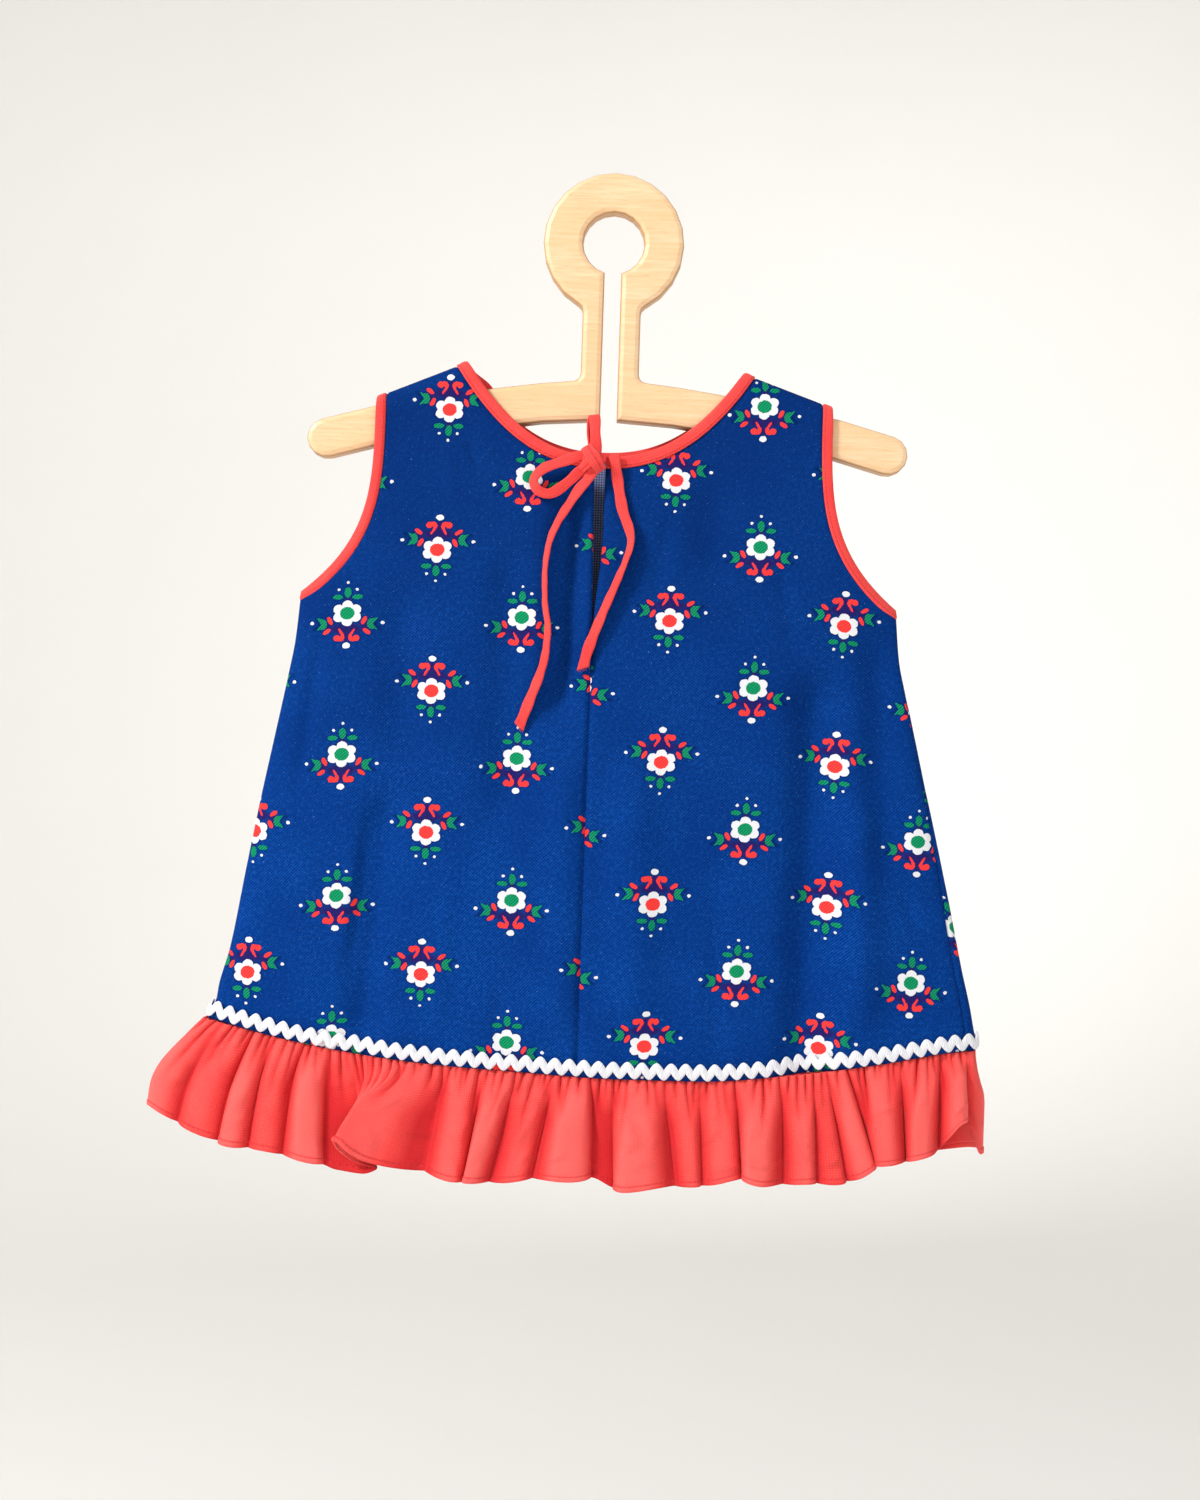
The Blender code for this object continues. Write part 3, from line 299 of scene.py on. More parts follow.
# Ties: route on the near side, lift in front of the cloth, turn of the tape round its route
TIE_ROUTES = {
    "tie_tail_left": [
        # x, z, lift, turn in degrees
        (-5.6, -129.6, 6.2, 0), (-9.6, -136.4, 4.8, 10), (-15.4, -143.6, 3.4, 25),
        (-25, -160.5, 4, 54), (-28.8, -176.6, 4.6, 70), (-28.7, -196.6, 4.6, 70),
        (-26.8, -211.5, 4.4, 64), (-28.6, -229.1, 3.8, 50), (-34.6, -246.7, 2.8, 24),
        (-39.6, -260.4, 2.2, 0),
    ],
    "tie_tail_right": [
        (3.6, -123, 3.4, 0), (4.4, -128.4, 4, 0), (5.8, -136.4, 2.6, 0), (8.6, -150.3, 2.6, 10),
        (13.2, -164.6, 3.6, 50), (10.8, -176, 4, 60), (7, -186, 3.6, 50), (-0.9, -205.6, 3, 34),
        (-6.4, -220.8, 2.4, 0), (-8.6, -230.4, 2.2, 0),
    ],
    "bow_loop_side": [
        (-5, -123.6, 6, 0), (-12.6, -124.4, 5.9, -10), (-22, -127.6, 5.9, 0),
        (-31.6, -131.6, 5.4, 20), (-36.2, -137.2, 4.7, 30), (-33.6, -142.4, 3.9, 20),
        (-27.4, -143.4, 3.6, 0), (-20, -138.4, 3.8, 0), (-13.6, -132.4, 4.3, 0),
        (-7, -127.6, 5, 0),
    ],
    "bow_loop_up": [
        (-5.4, -125.6, 5.6, 0), (-5.6, -119.6, 6.3, 0), (-6.2, -112.6, 7.2, 0),
        (-6.6, -106.2, 6.9, 0), (-7.2, -104.2, 5.1, 0), (-8.2, -106.6, 3.2, 0),
        (-8, -113, 2.6, 0), (-7.4, -119.9, 3.2, 0), (-6.4, -126, 4, 0),
    ],
}
KNOT_PLACE = (-7.2, -126.2, 5.1)
KNOT_SIZE = (12.6, 8.4, 14.6)

# Printed repeat: how each cut piece lies on the bolt's print
REPEAT_WIDE = 87.6
REPEAT_TALL = 70.6
RED_ABOVE_GREEN = 32.5
PRINT_LAY = {
    # x and z of a motif, its place in the repeat, lean of columns, slope of rows,
    # pull at the shoulder, droop at the side
    "near_left": (-40.2, -276.2, 0, 0, 0.15, 0.15, 4.1, 2.2),
    "near_right": (31.8, -275.8, REPEAT_WIDE / 2, RED_ABOVE_GREEN, 1.6, 0.5, 2.6, 4.5),
    "far": (0, -262, 12, 20, 0.3, 0, 2, 2),
}
SIDE_DROOP_X = 112.0
DROOP_WIDE = 55.0
SHOULDER_PULL_Z = -190.0
PULL_TALL = 90.0
PULL_WIDE = 80.0
INK_WANDER = 0.7
INK_EDGE = 0.04
STITCH_LONG = 2.4

# Threads as they are drawn, in millimetres, and the plywood's layers in metres
TWILL_SPACING = 1.62
TWILL_WEFT = 2.3
BACK_SPACING = 1.3
PLAIN_SPACING = 1.1
TAPE_SPACING = 0.95
RIB_SPACING = 1.15
PLY = 0.00135

# Chart of the printed motif in millimetres, drawn from the right half of the green one;
# the red one is the same turned upside down. Each row is an ellipse.
MOTIF = {
    # x, y, half length, half width, turn in degrees
    "white": [
        (0, 4, 2.7, 2.4, 0), (0, -3.9, 2.75, 2.5, 0), (4.4, 2, 2.6, 2.4, 0),
        (4.35, -1.9, 2.6, 2.4, 0), (0, 0, 4.6, 4.2, 0), (4.6, 12, 0.75, 0.7, 0),
        (0, 15.5, 0.72, 0.66, 0), (17.8, -4.5, 0.95, 0.8, 0), (0, -16.2, 1.95, 1.45, 0),
    ],
    "disc": [
        (0, 0, 3.7, 3.2, 0),
    ],
    "green": [
        (0, 10.5, 1.75, 2.7, 0), (5, 8.2, 2.6, 1.25, 3), (12.4, -5.2, 2.2, 2.7, 0),
        (14.6, -7.1, 2.5, 0.95, -17), (13.9, -3.3, 2, 0.95, 30),
    ],
    "red": [
        (8.6, -3.6, 2.2, 1.1, 61), (10.1, -9, 2.2, 1.05, -33), (4.9, -12.4, 1.7, 1.55, 0),
        (3.3, -12.9, 1.9, 1.15, 6), (1.95, -11.6, 0.95, 1.6, -12), (2.8, -9.6, 2.3, 0.62, 58),
    ],
    "stems": [
        (0, -7.9, 8.6, 2.9, 0), (0, -11.6, 1.3, 3.6, 0), (0, 7.4, 1.6, 1.2, 0),
        (10, -6.1, 3.4, 2.6, 0),
    ],
}
NOTCH = (13.1, -5.2, 0.75)

# Section of the sewn tape: across, out; its two folded edges meet in a line of stitching
TAPE_SECTION = np.array([
    (-1, 0), (-0.95, 0.34), (-0.72, 0.52), (-0.4, 0.58), (-0.05, 0.52), (0.3, 0.46), (0.5, 0.34),
    (0.62, 0.3), (0.78, 0.56), (0.94, 0.42), (1, 0), (0.94, -0.42), (0.6, -0.52), (0.1, -0.5),
    (-0.5, -0.54), (-0.94, -0.4),
])

# Section of a folded binding: share of its width from the cut edge, height over the cloth
BINDING_SECTION = np.array([
    (-0.06, 0.30), (-0.05, 0.85), (0.04, 1.10), (0.22, 1.06), (0.45, 1.30), (0.70, 1.36),
    (0.90, 1.15), (1.03, 0.62), (1.07, 0), (1.03, -0.55), (0.88, -0.95), (0.5, -1), (0.12, -0.95),
    (-0.02, -0.6),
])

KNOT_TURNS = [
    # tilt of the ring in degrees, half width and half height, shift in x and z, lift
    (-48, 5, 6.2, -0.6, -0.8, 0),
    (34, 6.6, 6.9, 0.4, 0.4, 1.2),
]

KNOT_GRID = (16, 28)
KNOT_RING = 40
KNOT_CORE = 0.84
KNOT_PINCH = 0.22
TURN_DEEP = 0.92
TURN_WIDE = 0.55
POLE_GAP = 0.05
TAPE_STEP = 1.2
ROUTE_FINE = 10
SLANT_LONG = 4.0
FRAY_YARNS = 9
YARN_LONG = (1.0, 2.6)
YARN_HALF = 0.14
YARN_TAPER = 0.6
YARN_SPREAD = 0.46
YARN_START = 0.4
BRAID_SHARES = (0.0, 0.08, 0.25, 0.5, 0.75, 0.92, 1.0)
BRAID_FINE = 900
BRAID_BAND = 4.5
BRAID_STRETCH = 1.5


def place_camera():
    lens = bpy.data.cameras.new("camera")
    lens.lens, lens.sensor_width = LENS, SENSOR
    camera = bpy.data.objects.new("camera", lens)
    upright = Matrix.Rotation(math.radians(90), 4, "X")
    tilt = Matrix.Rotation(math.radians(CAMERA_TILT), 4, "Z")
    camera.matrix_world = Matrix.Translation(CAMERA_PLACE) @ upright @ tilt
    bpy.context.scene.collection.objects.link(camera)
    bpy.context.scene.camera = camera


place_camera()


# Materials

def srgb(code):
    """Linear colour with alpha from an sRGB hex code."""
    channels = [int(code[k:k + 2], 16) / 255 for k in (1, 3, 5)]
    return [c / 12.92 if c <= 0.04045 else ((c + 0.055) / 1.055) ** 2.4 for c in channels] + [1.0]


def add_node(tree, kind, inputs=(), out=0, **settings):
    """One node; a second word of its kind is its operation. Its inputs, in order or by name,
    take numbers, hex colours and other nodes' outputs: a MapRange takes the value, the range
    it has and the range it gets. Gives back one output."""
    kind, _, operation = kind.partition(" ")
    node = tree.nodes.new("ShaderNode" + kind)
    if operation:
        node.operation = operation
    for name, value in settings.items():
        setattr(node, name, value)
    for place, value in inputs.items() if isinstance(inputs, dict) else enumerate(inputs):
        if isinstance(value, bpy.types.NodeSocket):
            tree.links.new(value, node.inputs[place])
        else:
            node.inputs[place].default_value = srgb(value) if isinstance(value, str) else value
    return node.outputs[out] if node.outputs else node


def new_material(name):
    """Material with its shader, and the function that adds nodes to it."""
    made = bpy.data.materials.new(name)
    made.use_nodes = True
    made.node_tree.nodes.clear()
    add = functools.partial(add_node, made.node_tree)
    add("OutputMaterial", (add("BsdfPrincipled"),))
    return made, add


def finish(made, colour, relief, sockets):
    """Colour and relief are led into the shader; what is the same all over is set on it."""
    tree = made.node_tree
    shader = tree.nodes["Principled BSDF"]
    tree.links.new(colour, shader.inputs["Base Color"])
    if relief is not None:
        tree.links.new(relief, shader.inputs["Normal"])
    for name, value in sockets.items():
        shader.inputs[name].default_value = value
    return made


def laid(add, colour, *layers):
    """Colours laid one over another, each as strong as its share says."""
    for share, over in layers:
        colour = add("Mix", {0: share, 6: colour, 7: over}, 2, data_type="RGBA")
    return colour


def cloth_axes(add):
    """Flat cloth coordinates in millimetres, from the piece's own UV map."""
    vector = add("UVMap", uv_map="cloth")
    axes = add("SeparateXYZ", (vector,)).node.outputs
    return vector, axes[0], axes[1]


def yarn_wave(add, along, spacing, wobble, vector):
    """Soft ridge once every spacing, its line made uneven by noise."""
    noise = add("TexNoise", {"Vector": vector, "Scale": 0.35, "Detail": 2.0})
    shifted = add("Math MULTIPLY_ADD", (noise, wobble, along))
    wave = add("Math SINE", (add("Math MULTIPLY", (shifted, 2 * math.pi / spacing)),))
    return add("Math MULTIPLY_ADD", (wave, 0.5, 0.5))


def ellipse_reach(add, place, rows):
    """Distance from the nearest of some ellipses, 1 on its edge."""
    nearest = None
    for x, y, long, wide, turn in rows:
        at = add("Mapping", {"Vector": place, "Location": (x, y, 0), "Scale": (long, wide, 1),
                             "Rotation": (0, 0, math.radians(turn))}, vector_type="TEXTURE")
        reach = add("VectorMath LENGTH", (at,), "Value")
        nearest = add("Math MINIMUM", (nearest, reach)) if nearest else reach
    return nearest


def print_masks(add, vector, across, up):
    """Where each ink of the folk flower print lies."""
    rough = add("TexNoise", {"Vector": vector, "Scale": 0.9, "Detail": 1.0}, "Color")
    wander = add("SeparateXYZ", (rough,)).node.outputs
    x, y = (add("Math ADD", (flat, add("Math MULTIPLY_ADD", (way, INK_WANDER, -INK_WANDER / 2))))
            for flat, way in ((across, wander[0]), (up, wander[1])))
    column = add("Math FLOOR", (add("Math MULTIPLY_ADD", (x, 2 / REPEAT_WIDE, 0.5)),))
    red_one = add("Math FLOORED_MODULO", (column, 2.0))
    local_x = add("Math MULTIPLY_ADD", (column, -REPEAT_WIDE / 2, x))
    lifted = add("Math MULTIPLY_ADD", (red_one, -RED_ABOVE_GREEN, y))
    raised = add("Math ADD", (lifted, REPEAT_TALL / 2))
    wrapped = add("Math FLOORED_MODULO", (raised, REPEAT_TALL))
    local_y = add("Math SUBTRACT", (wrapped, REPEAT_TALL / 2))
    upright = add("Math MULTIPLY", (local_y, add("Math MULTIPLY_ADD", (red_one, -2.0, 1.0))))
    half = add("Math ABSOLUTE", (local_x,))
    place = add("CombineXYZ", (half, upright, 0.0))
    reaches = {ink: ellipse_reach(add, place, rows) for ink, rows in MOTIF.items()}
    masks = {ink: add("MapRange", (reach, 1 - INK_EDGE, 1 + INK_EDGE, 1.0, 0.0))
             for ink, reach in reaches.items()}
    off = add("Math ABSOLUTE", (add("Math SUBTRACT", (upright, NOTCH[1])),))
    past = add("Math SUBTRACT", (half, NOTCH[0]))
    cut = add("Math GREATER_THAN", (past, add("Math MULTIPLY", (off, NOTCH[2]))))
    masks["green"] = add("Math MULTIPLY", (masks["green"], add("Math SUBTRACT", (1.0, cut))))
    masks["stems"] = add("MapRange", (reaches["stems"], 0.7, 1.15, 1.0, 0.0))
    rim = add("Math MINIMUM", (reaches["green"], reaches["red"]))
    rim = add("Math MINIMUM", (reaches["white"], rim))
    masks["rim"] = add("MapRange", (rim, 1.0, 1.5, 0.55, 0.0))
    masks["red one"] = red_one
    return masks


def printed_cotton():
    """Cotton twill dyed and printed on one side: fine lines run up to the right,
    the ink lies flat and a little chalky, and the surface is dry and matt."""
    made, add = new_material("printed cotton twill")
    vector, across, up = cloth_axes(add)
    # Real ridges lie 0.6 mm apart; they are drawn at 1.62 mm, or they wouldn't show
    twill = yarn_wave(add, add("Math SUBTRACT", (across, up)), TWILL_SPACING, 0.5, vector)
    steep = add("Math MULTIPLY_ADD", (up, 1.7, across))
    weft = yarn_wave(add, steep, TWILL_WEFT, 0.9, vector)
    fleck = add("TexNoise", {"Vector": vector, "Scale": 0.55, "Detail": 4.0, "Roughness": 0.7})
    cloud = add("TexNoise", {"Vector": vector, "Scale": 0.022, "Detail": 3.0})
    # Painted shade: darker towards the top and paler towards the hem, standing in for light
    # bounced up from the floor
    height = add("SeparateXYZ", (add("TexCoord", out="Object"),), 2)
    top_painted_shade = add("MapRange", (height, -0.33, -0.12, 0.0, 0.5))
    # Lint and slubs: small pale points in the weave
    grain = add("TexNoise", {"Vector": vector, "Scale": 1.15, "Detail": 1.0})
    lint = add("MapRange", (grain, 0.735, 0.76, 0.0, 0.35))
    dyed = laid(add, "#012668", (twill, "#05469c"),
                (add("MapRange", (fleck, 0.45, 0.75, 0.0, 0.6)), "#1a5fc0"),
                (add("Math MULTIPLY", (weft, 0.25)), "#001d5c"),
                (add("MapRange", (cloud, 0.35, 0.65, 0.0, 0.45)), "#01286e"),
                (top_painted_shade, "#04225a"), (lint, "#7fa6dc"))
    masks = print_masks(add, vector, across, up)
    green = laid(add, "#08714a", (twill, "#199c68"))
    red = laid(add, "#e62c32", (twill, "#f44a42"))
    worn = add("Math MULTIPLY", (masks["green"], add("Math MULTIPLY_ADD", (twill, 0.3, 0.72))))
    colour = laid(add, dyed, (masks["rim"], "#04164f"),
                  (add("Math MULTIPLY", (masks["stems"], 0.85)), "#251a5c"),
                  (worn, green), (masks["red"], red), (masks["white"], "#e0e2e7"),
                  (masks["disc"], laid(add, green, (masks["red one"], red))))
    ridge = add("Math MULTIPLY_ADD", (fleck, 1.2, twill))
    relief = add("Bump", {"Height": ridge, "Strength": 0.35, "Distance": 0.0002})
    return finish(made, colour, relief, {"Roughness": 0.85, "Specular IOR Level": 0.04})


def wrong_side():
    """Unprinted back of the twill: an open grey blue weave with the dye only half through."""
    made, add = new_material("cotton twill wrong side")
    vector, across, up = cloth_axes(add)
    # Real threads lie 0.5 mm apart; they are drawn at 1.3 mm, or they wouldn't show
    cross = add("Math MULTIPLY", (yarn_wave(add, across, BACK_SPACING, 0.5, vector),
                                  yarn_wave(add, up, BACK_SPACING, 0.5, vector)))
    relief = add("Bump", {"Height": cross, "Strength": 0.4, "Distance": 0.0002})
    return finish(made, laid(add, "#4a5c8c", (cross, "#a9b4cf")), relief,
                  {"Roughness": 0.9, "Specular IOR Level": 0.2})


def red_cotton(name, stitch_lines, weave=PLAIN_SPACING, folded=False):
    """Plain weave cotton, piece dyed bright red: even fine threads both ways, matt,
    with the lines of machine stitching pressed into it where it is sewn, their trenches painted
    darker as shade; a folded frill gets painted shade in its valleys and painted highlight on
    crests."""
    made, add = new_material(name)
    vector, across, up = cloth_axes(add)
    # Real threads lie 0.4 mm apart; they are drawn at about 1.1 mm, or they wouldn't show
    grain = add("Math ADD", (yarn_wave(add, across, weave, 0.35, vector),
                             yarn_wave(add, up, weave * 1.15, 0.35, vector)))
    half_grain = add("Math MULTIPLY", (grain, 0.5))
    fleck = add("TexNoise", {"Vector": vector, "Scale": 0.9, "Detail": 4.0, "Roughness": 0.65})
    cloud = add("TexNoise", {"Vector": vector, "Scale": 0.05, "Detail": 3.0})
    colour = laid(add, "#e83436", (half_grain, "#f8544e"),
                  (add("MapRange", (fleck, 0.4, 0.75, 0.0, 0.25)), "#fa6a64"),
                  (add("MapRange", (cloud, 0.35, 0.65, 0.0, 0.3)), "#dc1524"))
    if folded:
        # Painted shade and highlight: valleys are coloured a darker crimson, standing in for
        # light that comes through other layers of the frill, and crests paler
        fold = add("Attribute", out="Fac", attribute_name="fold")
        colour = laid(add, colour, (add("MapRange", (fold, 0.12, 0.55, 0.8, 0.0)), "#c20018"),
                      (add("MapRange", (fold, 0.5, 0.85, 0.0, 0.7)), "#fc6a66"))
    height = add("Math ADD", (half_grain, fleck))
    for line in stitch_lines:
        off = add("Math ABSOLUTE", (add("Math SUBTRACT", (up, line)),))
        trench_and_shade = add("MapRange", (off, 0.15, 0.5, 1.0, 0.0))
        stitch = add("Math SINE", (add("Math MULTIPLY", (across, 2 * math.pi / STITCH_LONG)),))
        thread = add("Math MULTIPLY", (add("MapRange", (stitch, -0.7, -0.2, 0.0, 1.0)),
                                       add("MapRange", (off, 0.1, 0.4, 1.0, 0.0))))
        # Painted shade: the stitching trench is coloured darker as well as pressed in
        colour = laid(add, colour, (add("Math MULTIPLY", (trench_and_shade, 0.55)), "#b00a1c"),
                      (add("Math MULTIPLY", (thread, 0.35)), "#f2484a"))
        height = add("Math MULTIPLY_ADD", (trench_and_shade, -2.0, height))
        height = add("Math MULTIPLY_ADD", (thread, 1.6, height))
    relief = add("Bump", {"Height": height, "Strength": 0.45, "Distance": 0.00025})
    if folded:
        # Soft creases left by wearing and folding, as sharp-edged swells
        crumple = add("TexNoise", {"Vector": vector, "Scale": 0.05, "Detail": 2.0,
                                   "Distortion": 0.8}, noise_type="RIDGED_MULTIFRACTAL")
        relief = add("Bump", {"Height": crumple, "Normal": relief, "Strength": 1.0,
                              "Distance": 0.003})
    return finish(made, colour, relief, {
        "Roughness": 0.8, "Specular IOR Level": 0.1, "Sheen Weight": 0.22,
        "Sheen Roughness": 0.7, "Sheen Tint": srgb("#ffb3a8"), "Subsurface Weight": 0.2,
        "Subsurface Radius": (1.0, 0.12, 0.1), "Subsurface Scale": 0.002})


def white_braid():
    """Woven cotton ric-rac: soft ribs run across the band and follow its zigzag."""
    made, add = new_material("white cotton braid")
    vector, across, _ = cloth_axes(add)
    # Real ribs lie 0.7 mm apart; they are drawn at 1.15 mm, or they wouldn't show
    rib = yarn_wave(add, across, RIB_SPACING, 0.25, vector)
    fleck = add("TexNoise", {"Vector": vector, "Scale": 0.8, "Detail": 3.0})
    height = add("Math MULTIPLY_ADD", (fleck, 0.6, rib))
    relief = add("Bump", {"Height": height, "Strength": 0.5, "Distance": 0.0003})
    return finish(made, laid(add, "#d4d8e2", (rib, "#f4f4f7")), relief,
                  {"Roughness": 0.85, "Sheen Weight": 0.1})


def birch_plywood():
    """Birch plywood, sanded and lacquered: pale faces with faint long grain across the arms,
    and darker thin layers where the edge is cut."""
    made, add = new_material("birch plywood")
    place = add("TexCoord", out="Object")
    grain, band, pore = (
        add("TexNoise", {"Vector": add("Mapping", {"Vector": place, "Scale": stretch}),
                         "Scale": 1.0, **more})
        for stretch, more in (((38.0, 300.0, 620.0), {"Detail": 6.0, "Roughness": 0.62}),
                              ((7.0, 60.0, 90.0), {"Detail": 3.0, "Distortion": 0.6}),
                              ((160.0, 900.0, 2600.0), {"Detail": 2.0})))
    dark = add("MapRange", (pore, 0.62, 0.74, 0.0, 0.5))
    face = laid(add, "#e9be90", (add("MapRange", (grain, 0.36, 0.66, 0.0, 1.0)), "#f3d2aa"),
                (add("MapRange", (band, 0.35, 0.65, 0.0, 0.6)), "#eac08e"), (dark, "#cf9a63"))
    # Nine layers in 12 mm
    depth = add("Math ADD", (add("SeparateXYZ", (place,), 1), 1.0))
    layer = add("Math PINGPONG", (depth, PLY))
    edge = laid(add, "#b98a5e", (add("MapRange", (layer, 0.0005, 0.0009, 0.0, 1.0)), "#e3b882"),
                (dark, "#8f6440"))
    normal = add("NewGeometry", out="Normal")
    facing = add("Math ABSOLUTE", (add("VectorMath DOT_PRODUCT", (normal, (0, 1, 0)), "Value"),))
    side = add("MapRange", (facing, 0.35, 0.75, 1.0, 0.0))
    height = add("Math MULTIPLY_ADD", (pore, 0.6, grain))
    relief = add("Bump", {"Height": height, "Strength": 0.18, "Distance": 0.0003})
    return finish(made, laid(add, face, (side, edge)), relief, {"Roughness": 0.42, "IOR": 1.5})


# The garment's form

def half_width(right, z):
    """From the garment's middle to its outline; right says on which side."""
    top = by_side(right, SHOULDER_ARM_Z)
    drop = np.clip((top - z) / (top - UNDERARM_Z), 0.0, 1.0)
    arm = ARM_TOP_HALF + ARM_FLARE * drop ** ARM_POWER
    return np.where(z > UNDERARM_Z, arm, by_side(right, SIDES.row(z)))


def ridge_z(offset):
    """Height of the shoulder line at a distance from the garment's middle."""
    right = offset >= 0
    share = (np.abs(offset) - NECK_HALF) / (ARM_TOP_HALF - NECK_HALF)
    return mix(by_side(right, SHOULDER_NECK_Z), by_side(right, SHOULDER_ARM_Z), share)


def fold_depth(rows, x, z):
    """Sum of soft folds, each along its own line, at a place."""
    total = np.zeros_like(x)
    for x_top, z_top, x_foot, z_foot, wide, depth in rows:
        t = (z - z_top) / (z_foot - z_top)
        span = abs(z_foot - z_top)
        from_top, from_foot = t * span / FOLD_FADE, (1 - t) * span / FOLD_FADE
        fade = ease(from_top + FOLD_TAIL) * ease(from_foot + FOLD_TAIL)
        total += depth * fade * np.exp(-((x - mix(x_top, x_foot, t)) / wide) ** 2)
    return total


def rumple(x, z, seed):
    """Slight uneven lie of worn cloth, from waves at odd angles to each other."""
    total = sum(np.sin(a * x + b * z + phase + seed) for a, b, phase in RUMPLE_WAVES)
    return RUMPLE_DEPTH * total * (0.6 + 0.4 * np.sin(0.021 * x - 0.017 * z + seed))


def face_folds(face, x, z):
    return (FOLD_STRENGTH * fold_depth(FOLDS[face], x, z)
            + CREASE_STRENGTH * fold_depth(CREASES[face], x, z)
            + rumple(x, z, RUMPLE_SEED[face]))


def cloth_point(angle, z, face=None, creased=True):
    """Middle of the cloth; the angle is 0 at the near middle, 90 at the right, 180 far.
    The face is needed only for a point right on the outline."""
    turn = np.radians(angle)
    near = np.cos(turn) > 0 if face is None else np.full(np.shape(turn), face == "near")
    offset = half_width(np.sin(turn) >= 0, z) * np.sin(turn)
    crown = np.abs(np.cos(turn)) ** by_face(near, ROUNDNESS)
    depths = DEPTHS.row(z)
    stand = mix(depths["armhole"], by_face(near, depths), crown)
    below = np.clip((ridge_z(offset) - z) / ARCH_HEIGHT, 0.0, 1.0)
    arch = np.sqrt(1 - (1 - below) ** 2)
    x = CENTRE_X + offset
    if creased:
        folds = by_face(near, {name: face_folds(name, x, z) for name in ("near", "far")})
        stand = stand - folds * ease(crown * FOLD_START)
    stand = stand * arch
    return np.stack((x, np.where(near, -stand, stand), z + 0 * x), axis=-1)


def cloth_angle(face, offset, z):
    share = np.clip(offset / half_width(offset >= 0, z), -1.0, 1.0)
    angle = np.degrees(np.arcsin(share))
    return angle if face == "near" else 180.0 - angle


def on_face(face, line, sign=1):
    """Points (distance from the middle, height) as (angle, height)."""
    return np.stack((cloth_angle(face, sign * line[:, 0], line[:, 1]), line[:, 1]), axis=1)


def girth(face, angle, z):
    """Length of cloth round the section from the middle of the face to an angle."""
    start = 0.0 if face == "near" else 180.0
    angles = start + (angle[..., None] - start) * np.linspace(0, 1, GIRTH_STEPS + 1)
    ring = cloth_point(angles, z[..., None] + 0 * angles, creased=False)
    lengths = np.linalg.norm(np.diff(ring, axis=-2), axis=-1).sum(axis=-1)
    return lengths * np.sign(angle - start) * (1 if face == "near" else -1)


# Edges of the cut pieces

def edge_strip(edge, width, start_way, end_way, distances):
    """Finished and cut edge at some distances along a fine edge; its ends turn to the seams."""
    steps = np.linalg.norm(np.diff(edge, axis=0), axis=1)
    lengths = np.concatenate(([0.0], np.cumsum(steps)))
    along = unit(np.gradient(edge, axis=0))
    into = np.stack((-along[:, 1], along[:, 0]), axis=1)
    into *= np.where(into @ start_way < 0, -1, 1)[:, None]
    way = mix(start_way, into, ease(lengths / TURN_BLEND)[:, None])
    way = mix(end_way, way, ease((lengths[-1] - lengths) / TURN_BLEND)[:, None])
    at = distances(lengths[-1])
    return [np.stack([np.interp(at, lengths, line[:, k]) for k in (0, 1)], axis=1)
            for line in (edge, edge + unit(way) * width)]


def arch_steps(count, crowding=1.0):
    """Close steps over the shoulder's arch, then steps that may crowd towards the end."""
    def distances(total):
        t = 1 - np.arange(1, count + 1) / count
        return np.concatenate((ARCH_STEPS, mix(total, ARCH_STEPS[-1], t ** crowding)))
    return distances


def neck_edge(side, face, steps=NECK_STEPS):
    """Finished and cut neck edge from the shoulder to the middle, offsets made positive."""
    middle = SIGN[side] * (MIDDLE.at(side, NECK_LOW_Z["near"]) - CENTRE_X)
    top = SHOULDER_NECK_Z[side]
    offset = mix(NECK_HALF, middle if face == "near" else 0.0,
                 np.sin(np.linspace(0, math.pi / 2, FINE + 1)))
    drop = top - NECK_LOW_Z[face]
    edge = np.stack((offset, top - drop * (1 - np.abs(offset / NECK_HALF) ** NECK_POWER)), axis=1)
    # The far side slips inwards at the left of the neck, so that its binding shows there
    if (side, face) == ("left", "far"):
        slip = (np.exp(-((edge[:, 1] - FAR_NECK_Z) / FAR_NECK_TALL) ** 2)
                * ease((top - edge[:, 1]) / FAR_NECK_START))
        edge[:, 0] -= FAR_NECK_IN * slip
    slope = (SHOULDER_ARM_Z[side] - top) / (ARM_TOP_HALF - NECK_HALF)
    return edge_strip(edge, NECK_BINDING, unit(np.array([1.0, slope])), np.array([0.0, -1.0]),
                      arch_steps(steps))


def arm_edge(side, steps=ARM_STEPS):
    """Finished and cut armhole edge from the shoulder to the underarm, offsets made positive."""
    top = SHOULDER_ARM_Z[side]
    z = np.linspace(top, UNDERARM_Z, FINE + 1)
    edge = np.stack((half_width(np.full(z.shape, side == "right"), z - 1e-6), z), axis=1)
    edge[-1, 0] = SIDES.at(side, UNDERARM_Z)
    rise = (SHOULDER_NECK_Z[side] - top) / (ARM_TOP_HALF - NECK_HALF)
    foot_z = UNDERARM_Z - ARM_BINDING
    foot = np.array([SIDES.at(side, foot_z) - edge[-1, 0], foot_z - UNDERARM_Z])
    return edge_strip(edge, ARM_BINDING, unit(np.array([-1.0, rise])), unit(foot),
                      arch_steps(steps, UNDERARM_CROWDING))


def seam_angle(side, face, z):
    angle = SEAMS.at(side, z)
    if side == "left":
        return -angle if face == "near" else 360.0 - angle
    return angle


def join_z(angle):
    """Height of the join at an angle."""
    half = by_side(np.sin(np.radians(angle)) >= 0, SIDES.row(JOIN_LEVEL_Z))
    return JOIN.at("z", CENTRE_X + half * np.sin(np.radians(angle)))


